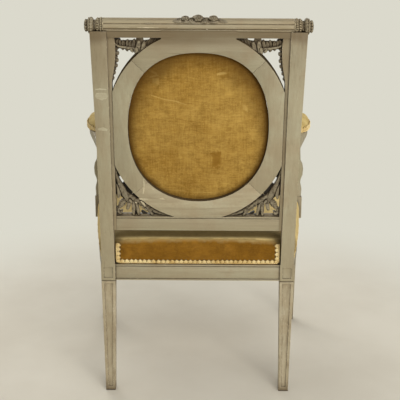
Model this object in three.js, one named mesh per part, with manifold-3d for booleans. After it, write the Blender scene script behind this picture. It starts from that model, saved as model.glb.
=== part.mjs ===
// A fauteuil with a square openwork back, an oval medallion, padded arms and a fixed seat.
// Lengths are millimetres and angles are degrees. The chair stands on z = 0 and faces -y.
// Left is the sitter's left, which is +x, and side is +1 on the left and -1 on the right.
// The chair is drawn with the rear legs' back face at y = 0, and centred on its footprint last.

import * as THREE from 'three';
import { mergeVertices } from 'three/addons/utils/BufferGeometryUtils.js';
import Module from 'manifold-3d';

// Legs and seat frame
const REAR_LEG_SPACING = 440;
const FRONT_LEG_SPACING = 546;
const LEG_ROW_SPACING = 469.5;
const DIE_WIDTH = 35;
const DIE_LIFT = 1.5;
const LEG_WIDTH = 34;
const FOOT_WIDTH = 24;
const NECK_WIDTH = 31;
const NECK_HEIGHT = 2.5;
const SEAT_RAIL_TOP = 342;
const SEAT_RAIL_HEIGHT = 41;
const SEAT_RAIL_THICKNESS = 26;
const RAIL_INSET = 2;
const BEAD_HEIGHT = 3.5;
const GROOVE_WIDTH = 2;
const GROOVE_DEPTH = 2;
const FIELD_DEPTH = 0.8;
const SIDE_RAIL_BOW = 6;
const FRONT_RAIL_BOW = 10;
const RABBET_WIDTH = 14;
const RABBET_DEPTH = 4.5;
const TENON_LENGTH = 13;
const TENON_THICKNESS = 8;
const TENON_SHOULDER = 8;
const TENON_WALL = 2;
const PANEL_BORDER = 6.5;
const PANEL_DEPTH = 2;
const PANEL_TOP_MARGIN = 6;
const PANEL_FOOT_MARGIN = 12;
const ROSETTE_RADIUS = 11;
const ROSETTE_HEIGHT = 5;
const CORNER_BLOCK_REACH = 55;
const CORNER_BLOCK_HEIGHT = 28;

// Back
const RAKE = 9.6;
const STILE_DEPTH = 32;
const STILE_WIDTH_AT_SEAT = 32;
const STILE_WIDTH_AT_ARM = 32;
const STILE_WIDTH_AT_TOP = 37.5;
const STRIP_WIDTH = 8;
const STRIP_SETBACK = 4;
const STRIP_DEPTH = 24;
const RAIL_AXIS_RISE = 597;
const TOP_RAIL_RADIUS = 17.5;
const REED_COUNT = 8;
const REED_DEPTH = 1.8;
const COLLAR_LENGTH = 18;
const COLLAR_RADIUS = 18.3;
const COLLAR_SETBACK = 7;
const FINIAL_LENGTH = 25;
const FINIAL_SPIGOT_RADIUS = 6;
const FINIAL_SPIGOT_LENGTH = 14;
const LOWER_RAIL_RISE = 93.5;
const LOWER_RAIL_HEIGHT = 37.5;
const LOWER_RAIL_THICKNESS = 24;
const LOWER_RAIL_SETBACK = 3;
const MEDALLION_SIDE_BAND = 33.5;
const MEDALLION_TOP_BAND = 39.5;
const MEDALLION_FOOT_BAND = 42;
const MEDALLION_BAND = 50;
const OPENING_SWELL = 7.8;
const OPENING_SWELL_TOP = 2.6;
const MEDALLION_SETBACK = 2;
const MEDALLION_THICKNESS = 28;
const MEDALLION_FRONT_BEAD = 4;
const MEDALLION_FRONT_BEAD_WIDTH = 8;
const RAIL_TIE_DROP = 47;
const TONGUE_LENGTH = 24;
const TONGUE_WIDTH = 26;
const TONGUE_THICKNESS = 8;
const CREST_OFFSET = 4;
const CREST_LENGTH = 96;
const CREST_RISE = 9;
const CREST_DEPTH = 24;

// Carved corner pieces
const LEAF_THICKNESS = 14;
const LEAF_SETBACK = 6;
const LEAF_SLOT = 6;
const UPPER_LEAF_REACH = 112;
const UPPER_LEAF_WIDTH = 28;
const STILE_LEAF_FALL = 118;
const STILE_LEAF_WIDTH = 14;
const LOWER_LEAF_REACH = 136;
const LOWER_LEAF_RISE = 109;

// Arms
const ARM_JOINT_HEIGHT = 641;
const ARM_FRONT_DROP = 8;
const ARM_WIDTH = 31;
const ARM_HEIGHT = 22;
const ARM_TENON_WIDTH = 12;
const ARM_TENON_LENGTH = 14;
const ARM_STEPS = 16;
const SCROLL_RADIUS = 17;
const SCROLL_WIDTH = 35;
const SUPPORT_OUTSET = 1.5;
const SUPPORT_SETBACK = 72;
const SUPPORT_LEAN_BACK = 83;
const SUPPORT_LEAN_IN = 9;
const PLINTH_WIDTH = 34;
const PLINTH_REVEAL = 2;
const SUPPORT_WIDTH = 30;
const SUPPORT_BULGE = 2;
const ARM_PAD_WIDTH = 42;
const ARM_PAD_CROWN = 27;
const ARM_PAD_GIMP_HEIGHT = 7;
const LOAF_SHOULDER_SHARE = 0.6;

// Upholstery
const SEAT_EDGE_HEIGHT = 60;
const SEAT_CROWN = 42;
const SEAT_SIDE_BULGE = 8;
const SEAT_FRONT_BULGE = 7;
const SEAT_REAR_MARGIN = 4;
const SEAT_SIDE_MARGIN = 3;
const SEAT_CORNER_RUN = 12;
const GIMP_WIDTH = 10;
const GIMP_THICKNESS = 1.6;
const WEBBING_WIDTH = 52;
const WEBBING_THICKNESS = 2;
const WEAVE_LIFT = 0.4;
const WEBBING_LONG_STRAPS = 4;
const WEBBING_CROSS_STRAPS = 4;
const CANVAS_THICKNESS = 1;
const BACK_CLOTH_SETBACK = 14;
const BACK_CLOTH_THICKNESS = 1.5;
const BACK_CLOTH_DOME = 6;
const BACK_WEBBING_WIDTH = 50;
const BACK_PAD_CROWN = 34;

// Clearances
const JOINT_GAP = 0.3;
const SOFT_GAP = 0.5;
const OVERRUN = 1;
const WELD = 1e-4;

// Facets
const ROUND_STEPS = 28;
const ROSETTE_STEPS = 16;
const FRONT_RAIL_STEPS = 8;
const SIDE_RAIL_STEPS = 6;
const MEDALLION_STEPS = 18;
const OVAL_STEPS = 36;
const EDGE_STEPS = 2;
const LEAF_STEPS = 20;
const LEAF_LOBES = 5;
const MOUND_STEPS = 12;
const GAP_STEPS = 8;
const LOAF_STEPS = 8;
const PAD_STEPS = 12;
const SEAT_SIDE_STEPS = 7;
const SEAT_FRONT_STEPS = 8;
const SEAT_REAR_STEPS = 4;

// Shapes given as shares of the sizes that they follow
const ROSETTE_PROFILE_SHARES = [[0, 0], [1, 0], [1, 0.35], [0.8, 0.7], [0.45, 0.5], [0.35, 0.9], [0, 1]];
const FINIAL_PROFILE_SHARES = [[0.55, 0], [0.62, 0.1], [1, 0.22], [1, 0.62], [0.78, 0.84], [0.4, 1]];
const LEAF_BELLY_SHARE = 0.7;
const LEAF_LOBE_SHARE = 0.3;
const LEAF_TIP_SHARE = 0.25;
const SCALLOP_SHARE = 0.14;
// Each gap in a lower corner piece: its place and its half sizes, as shares of reach and rise.
const LOWER_GAP_SHARES = [
  [0.1, 0.42, 0.045, 0.075], [0.055, 0.63, 0.022, 0.05], [0.07, 0.15, 0.025, 0.05],
  [0.235, 0.13, 0.06, 0.045], [0.46, 0.13, 0.045, 0.05], [0.68, 0.08, 0.045, 0.03],
  [0.27, 0.36, 0.03, 0.05],
];
// Each mound of the crest: its place along the crest, its half length and its height.
const CREST_MOUND_SHARES = [
  [-0.36, 0.14, 0.75], [-0.18, 0.12, 0.4], [0, 0.17, 1],
  [0.18, 0.12, 0.45], [0.36, 0.13, 0.85], [0, 0.5, 0.25],
];
// Each reed's round: shares of its width, and of its fall below the rail's radius.
const REED_SHARES = [[0.03, 1], [0.2, 0.3], [0.5, 0], [0.8, 0.3], [0.97, 1]];
const GROOVE_TURN_SHARE = 0.67;
// The arm's route: shares of its reach, of its outward spread and of its drop at the front.
const ARM_PATH_SHARES = [[-0.02, 0, 0], [0.22, 0.45, -0.9], [0.5, 0.86, -0.75], [0.8, 1, 0.35], [1, 1, 1]];
// The support's route: shares of its height, of its way back to the arm, and of its width.
const SUPPORT_PATH_SHARES = [[0, 0, 1], [0.1, 0, 1], [0.14, 0, 0.86], [0.18, 0, 0.7], [0.22, 0, 0.78],
  [0.28, 0, 1.06], [0.36, 0.02, 1.15], [0.42, 0.06, 1.05], [0.47, 0.12, 0.74], [0.6, 0.36, 0.68],
  [0.8, 0.76, 0.68], [1, 1, 0.78]];
const PAD_START_SHARE = 0.29;
const PAD_END_SHARE = 0.9;
const PAD_TIP_SHARE = 0.25;
// The seat's section: shares of the edge's height and of the side bulge, then of the crown.
const SEAT_EDGE_SHARES = [[0, 0], [0.18, 0.55], [0.5, 1], [0.8, 0.6], [1, -0.9]];
const SEAT_CROWN_SHARES = [[0.93, 0.2], [0.82, 0.44], [0.65, 0.7], [0.42, 0.9], [0.16, 1]];
const OVAL_CROWN_SHARES = [[0.97, 0.22], [0.9, 0.48], [0.78, 0.72], [0.58, 0.88], [0.32, 0.97], [0.1, 1]];
const SEAT_CORNER_SHARE = 0.94;
const RISER_SHARE = 0.93;
const BELLY_TOP_SHARE = 0.5;
const BACK_STRAP_SHARES = [-0.5, 0, 0.5];
const PAINT_ROUGHNESS = 0.6;
const CLOTH_ROUGHNESS = 0.9;
const COLLAR_PROFILE_SHARES = [
  [0, 0.9], [0.06, 1], [0.3, 1], [0.38, 0.9], [0.62, 0.9], [0.7, 1], [0.94, 1], [1, 0.9],
];

// Values that follow from the sizes above
const SEAT_RAIL_BOTTOM = SEAT_RAIL_TOP - SEAT_RAIL_HEIGHT;
const REAR_LEG_X = REAR_LEG_SPACING / 2;
const REAR_LEG_Y = -DIE_WIDTH / 2;
const FRONT_LEG_X = FRONT_LEG_SPACING / 2;
const FRONT_LEG_Y = REAR_LEG_Y - LEG_ROW_SPACING;
const STILE_INNER_X = REAR_LEG_X - STILE_WIDTH_AT_SEAT / 2;
const STRIP_INNER_X = STILE_INNER_X - STRIP_WIDTH;
const RAIL_AXIS_SETBACK = COLLAR_RADIUS;
const COLLAR_INNER_X = STILE_INNER_X + COLLAR_SETBACK;
const COLLAR_OUTER_X = COLLAR_INNER_X + COLLAR_LENGTH;
const STILE_TOP_RISE = RAIL_AXIS_RISE - TOP_RAIL_RADIUS / 2;
const MEDALLION_HALF_WIDTH = STRIP_INNER_X - MEDALLION_SIDE_BAND;
const MEDALLION_FOOT = LOWER_RAIL_RISE + LOWER_RAIL_HEIGHT + MEDALLION_FOOT_BAND;
const MEDALLION_HEAD = RAIL_AXIS_RISE - TOP_RAIL_RADIUS - MEDALLION_TOP_BAND;
const MEDALLION_HALF_HEIGHT = (MEDALLION_HEAD - MEDALLION_FOOT) / 2;
const MEDALLION_RISE = (MEDALLION_HEAD + MEDALLION_FOOT) / 2;
const MEDALLION_FRONT = MEDALLION_SETBACK + MEDALLION_THICKNESS;
const RAIL_TIE_REACH = STRIP_INNER_X - UPPER_LEAF_REACH - 2 * JOINT_GAP;
const ARM_JOINT_RISE = (ARM_JOINT_HEIGHT - SEAT_RAIL_TOP) / Math.cos(THREE.MathUtils.degToRad(RAKE));

const SUPPORT_BASE_X = FRONT_LEG_X + SUPPORT_OUTSET;
const SUPPORT_BASE_Y = FRONT_LEG_Y + SUPPORT_SETBACK;
const PLINTH_HEIGHT = SEAT_EDGE_HEIGHT + PLINTH_REVEAL;
const ARM_TIP_X = SUPPORT_BASE_X - SUPPORT_LEAN_IN;
const ARM_REACH = -SUPPORT_BASE_Y - SUPPORT_LEAN_BACK;
const GIMP_FLOOR = SEAT_RAIL_TOP + JOINT_GAP;
const GIMP_TOP = GIMP_FLOOR + GIMP_WIDTH;

const COLOURS = {
  paint: 0x968a70,
  velvet: 0xa5823e,
  gimp: 0xe6c88c,
  rawWood: 0xb08d5f,
  webbing: 0x9c8460,
  canvas: 0xcbb98f,
};

const wasm = await Module();
wasm.setup();

// Solids

// A geometry with its faces pointing out, whichever way its rings were listed.
function facingOut(geometry) {
  const place = geometry.attributes.position;
  const index = geometry.index.array;
  const corner = [new THREE.Vector3(), new THREE.Vector3(), new THREE.Vector3()];
  let volume = 0;
  for (let i = 0; i < index.length; i += 3) {
    corner.forEach((point, k) => point.fromBufferAttribute(place, index[i + k]));
    volume += corner[0].dot(corner[1].clone().cross(corner[2]));
  }
  if (volume < 0) {
    for (let i = 0; i < index.length; i += 3) {
      [index[i + 1], index[i + 2]] = [index[i + 2], index[i + 1]];
    }
  }
  return geometry;
}

function bareOf(geometry) {
  const bare = geometry.clone();
  bare.deleteAttribute('normal');
  bare.deleteAttribute('uv');
  return bare;
}

function solidOf(geometry) {
  const merged = facingOut(mergeVertices(bareOf(geometry), WELD));
  const vertProperties = new Float32Array(merged.attributes.position.array);
  const triVerts = new Uint32Array(merged.index.array);
  return new wasm.Manifold(new wasm.Mesh({ numProp: 3, vertProperties, triVerts }));
}

function geometryOf(solid) {
  const mesh = solid.getMesh();
  const geometry = new THREE.BufferGeometry();
  geometry.setAttribute('position', new THREE.BufferAttribute(mesh.vertProperties, 3));
  geometry.setIndex(new THREE.BufferAttribute(mesh.triVerts, 1));
  geometry.computeVertexNormals();
  return geometry;
}

function joined(first, ...others) {
  return others.reduce((whole, piece) => whole.add(piece), first);
}

function cut(body, ...cutters) {
  return cutters.reduce((rest, cutter) => rest.subtract(cutter), body);
}

// A box between two corners. A mirrored box may name its corners in either order.
function boxBetween(a, b, turn = new THREE.Matrix4()) {
  const low = new THREE.Vector3(...a);
  const high = new THREE.Vector3(...b);
  const size = high.clone().sub(low);
  const box = new THREE.BoxGeometry(Math.abs(size.x), Math.abs(size.y), Math.abs(size.z));
  const middle = low.add(high).multiplyScalar(0.5);
  box.translate(middle.x, middle.y, middle.z);
  return solidOf(box.applyMatrix4(turn));
}

// A skin through a row of like outlines. Each station has an outline in its own plane,
// the point that carries it, and the two directions that the outline is drawn along.
function sweepGeometry(stations, closed = false) {
  const count = stations[0].outline.length;
  const points = stations.flatMap(({ outline, at, across, up }) => outline.map(([a, b]) => (
    at.clone().addScaledVector(across, a).addScaledVector(up, b)
  )));
  const index = [];
  const spans = closed ? stations.length : stations.length - 1;
  for (let s = 0; s < spans; s += 1) {
    const here = s * count;
    const next = ((s + 1) % stations.length) * count;
    for (let k = 0; k < count; k += 1) {
      const after = (k + 1) % count;
      index.push(here + k, here + after, next + after, here + k, next + after, next + k);
    }
  }
  if (!closed) {
    const last = stations.length - 1;
    [[0, true], [last, false]].forEach(([s, reverse]) => {
      const flat = stations[s].outline.map(([a, b]) => new THREE.Vector2(a, b));
      const turned = THREE.ShapeUtils.isClockWise(flat);
      THREE.ShapeUtils.triangulateShape(flat, []).forEach(([a, b, c]) => {
        const face = [a, b, c].map((k) => s * count + k);
        index.push(...(reverse !== turned ? face.reverse() : face));
      });
    });
  }
  const geometry = new THREE.BufferGeometry();
  geometry.setAttribute('position', new THREE.Float32BufferAttribute(points.flatMap((p) => [...p]), 3));
  geometry.setIndex(index);
  return geometry;
}

function sweep(stations, closed = false) {
  return solidOf(sweepGeometry(stations, closed));
}

// Outlines

function rectangle(width, height) {
  const [w, h] = [width / 2, height / 2];
  return [[-w, -h], [w, -h], [w, h], [-w, h]];
}

function roundedRectangle(width, height, radius, steps) {
  const [w, h] = [width / 2 - radius, height / 2 - radius];
  const corners = [[w, h], [-w, h], [-w, -h], [w, -h]];
  return corners.flatMap(([x, y], quarter) => Array.from({ length: steps + 1 }, (_, k) => {
    const angle = (quarter + k / steps) * (Math.PI / 2);
    return [x + radius * Math.cos(angle), y + radius * Math.sin(angle)];
  }));
}

// A half oval on a flat base, for a pad. Its foot may be sunk below the base.
function loaf(width, height, steps, sink) {
  const arch = Array.from({ length: steps - 1 }, (_, k) => {
    const angle = ((k + 1) / steps) * Math.PI;
    return [(width / 2) * Math.cos(angle), height * Math.sin(angle) ** LOAF_SHOULDER_SHARE];
  });
  return [[width / 2, -sink], ...arch, [-width / 2, -sink]];
}

// A flat plate cut to an outline in x and y, between two heights.
function plate(outline, low, high) {
  const shape = new THREE.Shape(outline.map(([x, y]) => new THREE.Vector2(x, y)));
  const geometry = new THREE.ExtrudeGeometry(shape, { depth: high - low, bevelEnabled: false });
  return solidOf(geometry.translate(0, 0, low));
}

// A flat plate cut to an outline in x and the back's rise, between two depths behind each other.
function backPlate(outline, rear, front) {
  const turn = new THREE.Matrix4().makeRotationX(Math.PI / 2);
  const shape = new THREE.Shape(outline.map(([x, rise]) => new THREE.Vector2(x, rise)));
  const geometry = new THREE.ExtrudeGeometry(shape, { depth: front - rear, bevelEnabled: false });
  return solidOf(geometry.applyMatrix4(turn).translate(0, -rear, 0));
}

// Places that several pieces share

const RIGHT = new THREE.Vector3(1, 0, 0);
const BACK = new THREE.Vector3(0, 1, 0);
const UP = new THREE.Vector3(0, 0, 1);
const RAKED = new THREE.Matrix4().makeTranslation(0, 0, SEAT_RAIL_TOP)
  .multiply(new THREE.Matrix4().makeRotationX(-THREE.MathUtils.degToRad(RAKE)));

const { lerp } = THREE.MathUtils;

// Evenly spaced values from one end to the other, both included.
function spread(steps, from, to) {
  return Array.from({ length: steps + 1 }, (_, k) => lerp(from, to, k / steps));
}

// How far along the seat a place is, from the rear legs' row to the front legs' row.
function seatShare(y) {
  return (REAR_LEG_Y - y) / LEG_ROW_SPACING;
}

function sideFaceX(y) {
  const share = seatShare(y);
  const straight = lerp(REAR_LEG_X, FRONT_LEG_X, share) + DIE_WIDTH / 2 - RAIL_INSET;
  return straight + SIDE_RAIL_BOW * Math.sin(Math.PI * THREE.MathUtils.clamp(share, 0, 1));
}

function frontFaceY(x) {
  const share = THREE.MathUtils.clamp(Math.abs(x) / FRONT_LEG_X, 0, 1);
  return FRONT_LEG_Y - DIE_WIDTH / 2 + RAIL_INSET - FRONT_RAIL_BOW * Math.cos((Math.PI / 2) * share);
}

function legWidthAt(z) {
  return lerp(FOOT_WIDTH, LEG_WIDTH, z / (SEAT_RAIL_BOTTOM - NECK_HEIGHT));
}

function stileWidthAt(rise) {
  return rise < ARM_JOINT_RISE
    ? lerp(STILE_WIDTH_AT_SEAT, STILE_WIDTH_AT_ARM, Math.max(rise, 0) / ARM_JOINT_RISE)
    : lerp(STILE_WIDTH_AT_ARM, STILE_WIDTH_AT_TOP,
      (rise - ARM_JOINT_RISE) / (STILE_TOP_RISE - ARM_JOINT_RISE));
}

// A round bar along x, lying in the back at the top rail's axis.
function railBar(radius, from, to, turn = new THREE.Matrix4()) {
  const bar = new THREE.CylinderGeometry(radius, radius, Math.abs(to - from), ROUND_STEPS);
  bar.rotateZ(Math.PI / 2);
  bar.translate((from + to) / 2, -RAIL_AXIS_SETBACK, RAIL_AXIS_RISE);
  return solidOf(bar.applyMatrix4(turn));
}

// Legs

function legColumn(x, y, top) {
  const heights = [
    [0, FOOT_WIDTH],
    [SEAT_RAIL_BOTTOM - NECK_HEIGHT, LEG_WIDTH],
    [SEAT_RAIL_BOTTOM - NECK_HEIGHT, NECK_WIDTH],
    [SEAT_RAIL_BOTTOM, NECK_WIDTH],
    [SEAT_RAIL_BOTTOM, DIE_WIDTH],
    [top, DIE_WIDTH],
  ];
  return sweep(heights.map(([z, width]) => ({
    outline: rectangle(width, width), at: new THREE.Vector3(x, y, z), across: RIGHT, up: BACK,
  })));
}

// The hollow of a sunk panel on the leg's face that looks towards (dx, dy).
function sunkPanel(x, y, [dx, dy], low, high, widthAt) {
  return sweep([low, high].map((z) => {
    const half = widthAt(z) / 2;
    const width = widthAt(z) - 2 * PANEL_BORDER;
    return {
      outline: dx ? rectangle(2 * PANEL_DEPTH, width) : rectangle(width, 2 * PANEL_DEPTH),
      at: new THREE.Vector3(x + dx * half, y + dy * half, z),
      across: RIGHT,
      up: BACK,
    };
  }));
}

function panelledLeg(x, y, top, faces) {
  const legTop = SEAT_RAIL_BOTTOM - NECK_HEIGHT;
  const die = () => DIE_WIDTH;
  const hollows = faces.flatMap((face) => [
    sunkPanel(x, y, face, PANEL_FOOT_MARGIN, legTop - PANEL_TOP_MARGIN, legWidthAt),
    sunkPanel(x, y, face, SEAT_RAIL_BOTTOM + PANEL_BORDER, SEAT_RAIL_TOP - PANEL_BORDER, die),
  ]);
  return cut(legColumn(x, y, top), ...hollows);
}

function rearPostStile(side, grow = 0) {
  const rises = [-SEAT_RAIL_HEIGHT / 2, 0, ARM_JOINT_RISE, STILE_TOP_RISE];
  const stile = sweepGeometry(rises.map((rise) => {
    const [inner, outer] = [STILE_INNER_X - grow, STILE_INNER_X + stileWidthAt(rise) + grow];
    return {
      outline: [[inner, -STILE_DEPTH - grow], [outer, -STILE_DEPTH - grow], [outer, grow], [inner, grow]],
      at: UP.clone().multiplyScalar(rise),
      across: RIGHT.clone().multiplyScalar(side),
      up: BACK,
    };
  }));
  return solidOf(stile.applyMatrix4(RAKED));
}

function stileStrip(side) {
  return boxBetween(
    [side * STRIP_INNER_X, -STRIP_SETBACK - STRIP_DEPTH, LOWER_RAIL_RISE],
    [side * (STILE_INNER_X + OVERRUN), -STRIP_SETBACK, STILE_TOP_RISE],
    RAKED,
  );
}

// Tenons, drawn at their own size and, for their mortises, grown by the joint's gap.

function rearRailTenon(side, grow = 0) {
  const inner = REAR_LEG_X - DIE_WIDTH / 2;
  const middle = -RAIL_INSET - SEAT_RAIL_THICKNESS / 2;
  const half = TENON_THICKNESS / 2 + grow;
  return boxBetween(
    [side * (inner - OVERRUN), middle - half, SEAT_RAIL_BOTTOM + TENON_SHOULDER - grow],
    [side * (inner + TENON_LENGTH + grow), middle + half, SEAT_RAIL_TOP - TENON_SHOULDER + grow],
  );
}

function frontRailTenon(side, grow = 0) {
  const inner = FRONT_LEG_X - DIE_WIDTH / 2;
  const middle = FRONT_LEG_Y - DIE_WIDTH / 2 + RAIL_INSET + SEAT_RAIL_THICKNESS / 2;
  const half = TENON_THICKNESS / 2 + grow;
  return boxBetween(
    [side * (inner - OVERRUN), middle - half, SEAT_RAIL_BOTTOM + TENON_SHOULDER - grow],
    [side * (inner + TENON_LENGTH + grow), middle + half, SEAT_RAIL_TOP - TENON_SHOULDER + grow],
  );
}

function sideRailTenon(side, faceY, towards, grow = 0) {
  const x = side * (sideFaceX(faceY) - SEAT_RAIL_THICKNESS / 2);
  const half = TENON_THICKNESS / 2 + grow;
  return boxBetween(
    [x - half, faceY - towards * OVERRUN, SEAT_RAIL_BOTTOM + TENON_SHOULDER - grow],
    [x + half, faceY + towards * (TENON_LENGTH + grow), SEAT_RAIL_TOP - TENON_SHOULDER + grow],
  );
}

function lowerRailTenon(side, grow = 0, turn = new THREE.Matrix4()) {
  const middle = -LOWER_RAIL_SETBACK - LOWER_RAIL_THICKNESS / 2;
  const half = TENON_THICKNESS / 2 + grow;
  return boxBetween(
    [side * (STRIP_INNER_X - OVERRUN), middle - half, LOWER_RAIL_RISE + TENON_SHOULDER - grow],
    [
      side * (STRIP_INNER_X + TENON_LENGTH + grow),
      middle + half,
      LOWER_RAIL_RISE + LOWER_RAIL_HEIGHT - TENON_SHOULDER + grow,
    ],
    turn,
  );
}

function postTopTenon(side, grow = 0, turn = new THREE.Matrix4()) {
  const x = side * (COLLAR_INNER_X + COLLAR_LENGTH / 2);
  const half = TENON_THICKNESS / 2 + grow;
  return boxBetween(
    [x - half, -RAIL_AXIS_SETBACK - half, RAIL_AXIS_RISE - COLLAR_RADIUS - OVERRUN],
    [x + half, -RAIL_AXIS_SETBACK + half, RAIL_AXIS_RISE - FINIAL_SPIGOT_RADIUS - TENON_WALL + grow],
    turn,
  );
}

function rearPost(side) {
  const [x, y] = [side * REAR_LEG_X, REAR_LEG_Y];
  const leg = panelledLeg(x, y, SEAT_RAIL_TOP + DIE_LIFT, [[0, 1], [side, 0]]);
  const frontFace = REAR_LEG_Y - DIE_WIDTH / 2;
  const seat = railBar(COLLAR_RADIUS + JOINT_GAP, 0, side * (COLLAR_OUTER_X + FINIAL_LENGTH), RAKED);
  const seated = cut(joined(rearPostStile(side), stileStrip(side)), seat);
  return cut(
    joined(leg, seated, postTopTenon(side, 0, RAKED)),
    rearRailTenon(side, JOINT_GAP),
    sideRailTenon(side, frontFace, 1, JOINT_GAP),
    lowerRailTenon(side, JOINT_GAP, RAKED),
    armTenon(side, JOINT_GAP),
  );
}

function frontLeg(side) {
  const [x, y] = [side * FRONT_LEG_X, FRONT_LEG_Y];
  const leg = panelledLeg(x, y, SEAT_RAIL_TOP, [[0, -1], [side, 0]]);
  return cut(
    leg,
    frontRailTenon(side, JOINT_GAP),
    sideRailTenon(side, FRONT_LEG_Y + DIE_WIDTH / 2, -1, JOINT_GAP),
  );
}

// A turned flower for the sunk square of a die, standing on the ground plane.
function rosette() {
  const rim = ROSETTE_RADIUS;
  const profile = ROSETTE_PROFILE_SHARES.map(([r, h]) => new THREE.Vector2(r * rim, h * ROSETTE_HEIGHT));
  return solidOf(new THREE.LatheGeometry(profile, ROSETTE_STEPS).rotateX(Math.PI / 2));
}

// Seat frame

// The moulded section of a seat rail, from its outer face inwards and from its underside up.
function seatRailOutline() {
  const height = SEAT_RAIL_HEIGHT;
  const bead = BEAD_HEIGHT;
  const groove = BEAD_HEIGHT + GROOVE_WIDTH;
  return [
    [0, 0], [0, bead], [GROOVE_DEPTH, bead], [GROOVE_DEPTH, groove], [FIELD_DEPTH, groove],
    [FIELD_DEPTH, height - groove], [GROOVE_DEPTH, height - groove], [GROOVE_DEPTH, height - bead],
    [0, height - bead], [0, height], [SEAT_RAIL_THICKNESS - RABBET_WIDTH, height],
    [SEAT_RAIL_THICKNESS - RABBET_WIDTH, height - RABBET_DEPTH],
    [SEAT_RAIL_THICKNESS, height - RABBET_DEPTH], [SEAT_RAIL_THICKNESS, 0],
  ];
}

function rearSeatRail() {
  const end = REAR_LEG_X - DIE_WIDTH / 2 - JOINT_GAP;
  const rail = sweep([-end, end].map((x) => ({
    outline: seatRailOutline(),
    at: new THREE.Vector3(x, -RAIL_INSET, SEAT_RAIL_BOTTOM),
    across: BACK.clone().negate(),
    up: UP,
  })));
  return joined(rail, rearRailTenon(1), rearRailTenon(-1));
}

function frontSeatRail() {
  const end = FRONT_LEG_X - DIE_WIDTH / 2 - JOINT_GAP;
  const rail = sweep(spread(FRONT_RAIL_STEPS, -end, end).map((x) => ({
    outline: seatRailOutline(),
    at: new THREE.Vector3(x, frontFaceY(x), SEAT_RAIL_BOTTOM),
    across: BACK,
    up: UP,
  })));
  return joined(rail, frontRailTenon(1), frontRailTenon(-1));
}

function sideSeatRail(side) {
  const rear = REAR_LEG_Y - DIE_WIDTH / 2;
  const front = FRONT_LEG_Y + DIE_WIDTH / 2;
  const rail = sweep(spread(SIDE_RAIL_STEPS, rear - JOINT_GAP, front + JOINT_GAP).map((y) => ({
    outline: seatRailOutline(),
    at: new THREE.Vector3(side * sideFaceX(y), y, SEAT_RAIL_BOTTOM),
    across: RIGHT.clone().multiplyScalar(-side),
    up: UP,
  })));
  return joined(rail, sideRailTenon(side, rear, 1), sideRailTenon(side, front, -1));
}

// Back frame

function lowerBackRail() {
  const end = STRIP_INNER_X - JOINT_GAP;
  const [rear, top] = [-LOWER_RAIL_SETBACK, LOWER_RAIL_RISE + LOWER_RAIL_HEIGHT];
  const fillet = top - BEAD_HEIGHT;
  const field = rear - FIELD_DEPTH;
  const front = rear - LOWER_RAIL_THICKNESS;
  const outline = [
    [front, LOWER_RAIL_RISE], [field, LOWER_RAIL_RISE], [field, fillet - GROOVE_WIDTH],
    [rear - GROOVE_DEPTH, fillet - GROOVE_WIDTH], [rear - GROOVE_DEPTH, fillet], [rear, fillet],
    [rear, top], [front, top],
  ];
  const rail = sweep([-end, end].map((x) => ({
    outline, at: new THREE.Vector3(x, 0, 0), across: BACK, up: UP,
  })));
  return joined(rail, lowerRailTenon(1), lowerRailTenon(-1));
}

// The reeded bar's section: round reeds side by side, as shallow arcs between narrow valleys.
function reededOutline() {
  return Array.from({ length: REED_COUNT }, (_, reed) => REED_SHARES.map(([turn, fall]) => {
    const angle = ((reed + GROOVE_TURN_SHARE + turn) / REED_COUNT) * 2 * Math.PI;
    const radius = TOP_RAIL_RADIUS - fall * REED_DEPTH;
    return [radius * Math.cos(angle), radius * Math.sin(angle)];
  })).flat();
}

// A turned shape around the top rail's axis, from a profile of places along it and radii.
function turnedOnRail(profile, side) {
  const points = profile.map(([along, radius]) => new THREE.Vector2(radius, along));
  const turned = new THREE.LatheGeometry(points, ROUND_STEPS);
  turned.rotateZ(-side * Math.PI / 2);
  return solidOf(turned.translate(0, -RAIL_AXIS_SETBACK, RAIL_AXIS_RISE));
}

function railCollar(side) {
  const profile = COLLAR_PROFILE_SHARES.map(([along, radius]) => (
    [COLLAR_INNER_X + along * COLLAR_LENGTH, radius * COLLAR_RADIUS]
  ));
  const [first, last] = [profile[0], profile[profile.length - 1]];
  return turnedOnRail([[first[0], 0], ...profile, [last[0], 0]], side);
}

function finialSpigot(side, grow = 0) {
  return railBar(
    FINIAL_SPIGOT_RADIUS + grow,
    side * (COLLAR_OUTER_X - FINIAL_SPIGOT_LENGTH - grow),
    side * (COLLAR_OUTER_X + OVERRUN),
  );
}

function topRail() {
  const bar = sweep([-1, 1].map((side) => ({
    outline: reededOutline(),
    at: new THREE.Vector3(side * (COLLAR_INNER_X + OVERRUN), -RAIL_AXIS_SETBACK, RAIL_AXIS_RISE),
    across: BACK,
    up: UP,
  })));
  return cut(
    joined(bar, railCollar(1), railCollar(-1)),
    postTopTenon(1, JOINT_GAP),
    postTopTenon(-1, JOINT_GAP),
    finialSpigot(1, JOINT_GAP),
    finialSpigot(-1, JOINT_GAP),
  );
}

function finial(side) {
  const start = COLLAR_OUTER_X + JOINT_GAP;
  const profile = FINIAL_PROFILE_SHARES.map(([radius, along]) => (
    [start + along * FINIAL_LENGTH, radius * COLLAR_RADIUS]
  ));
  const [first, last] = [profile[0], profile[profile.length - 1]];
  const knob = turnedOnRail([[first[0], 0], ...profile, [last[0], 0]], side);
  return joined(knob, finialSpigot(side));
}

// A point of the medallion, a given distance out from the oval opening's edge.
function medallionPoint(angle, out) {
  return [
    (MEDALLION_HALF_WIDTH + out) * Math.cos(angle),
    MEDALLION_RISE + (MEDALLION_HALF_HEIGHT + out) * Math.sin(angle),
  ];
}

// How far the opening is fuller than an ellipse, which is most at its diagonals.
function openingSwell(angle) {
  return (OPENING_SWELL + OPENING_SWELL_TOP * Math.sin(angle)) * Math.sin(2 * angle) ** 2;
}

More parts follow.
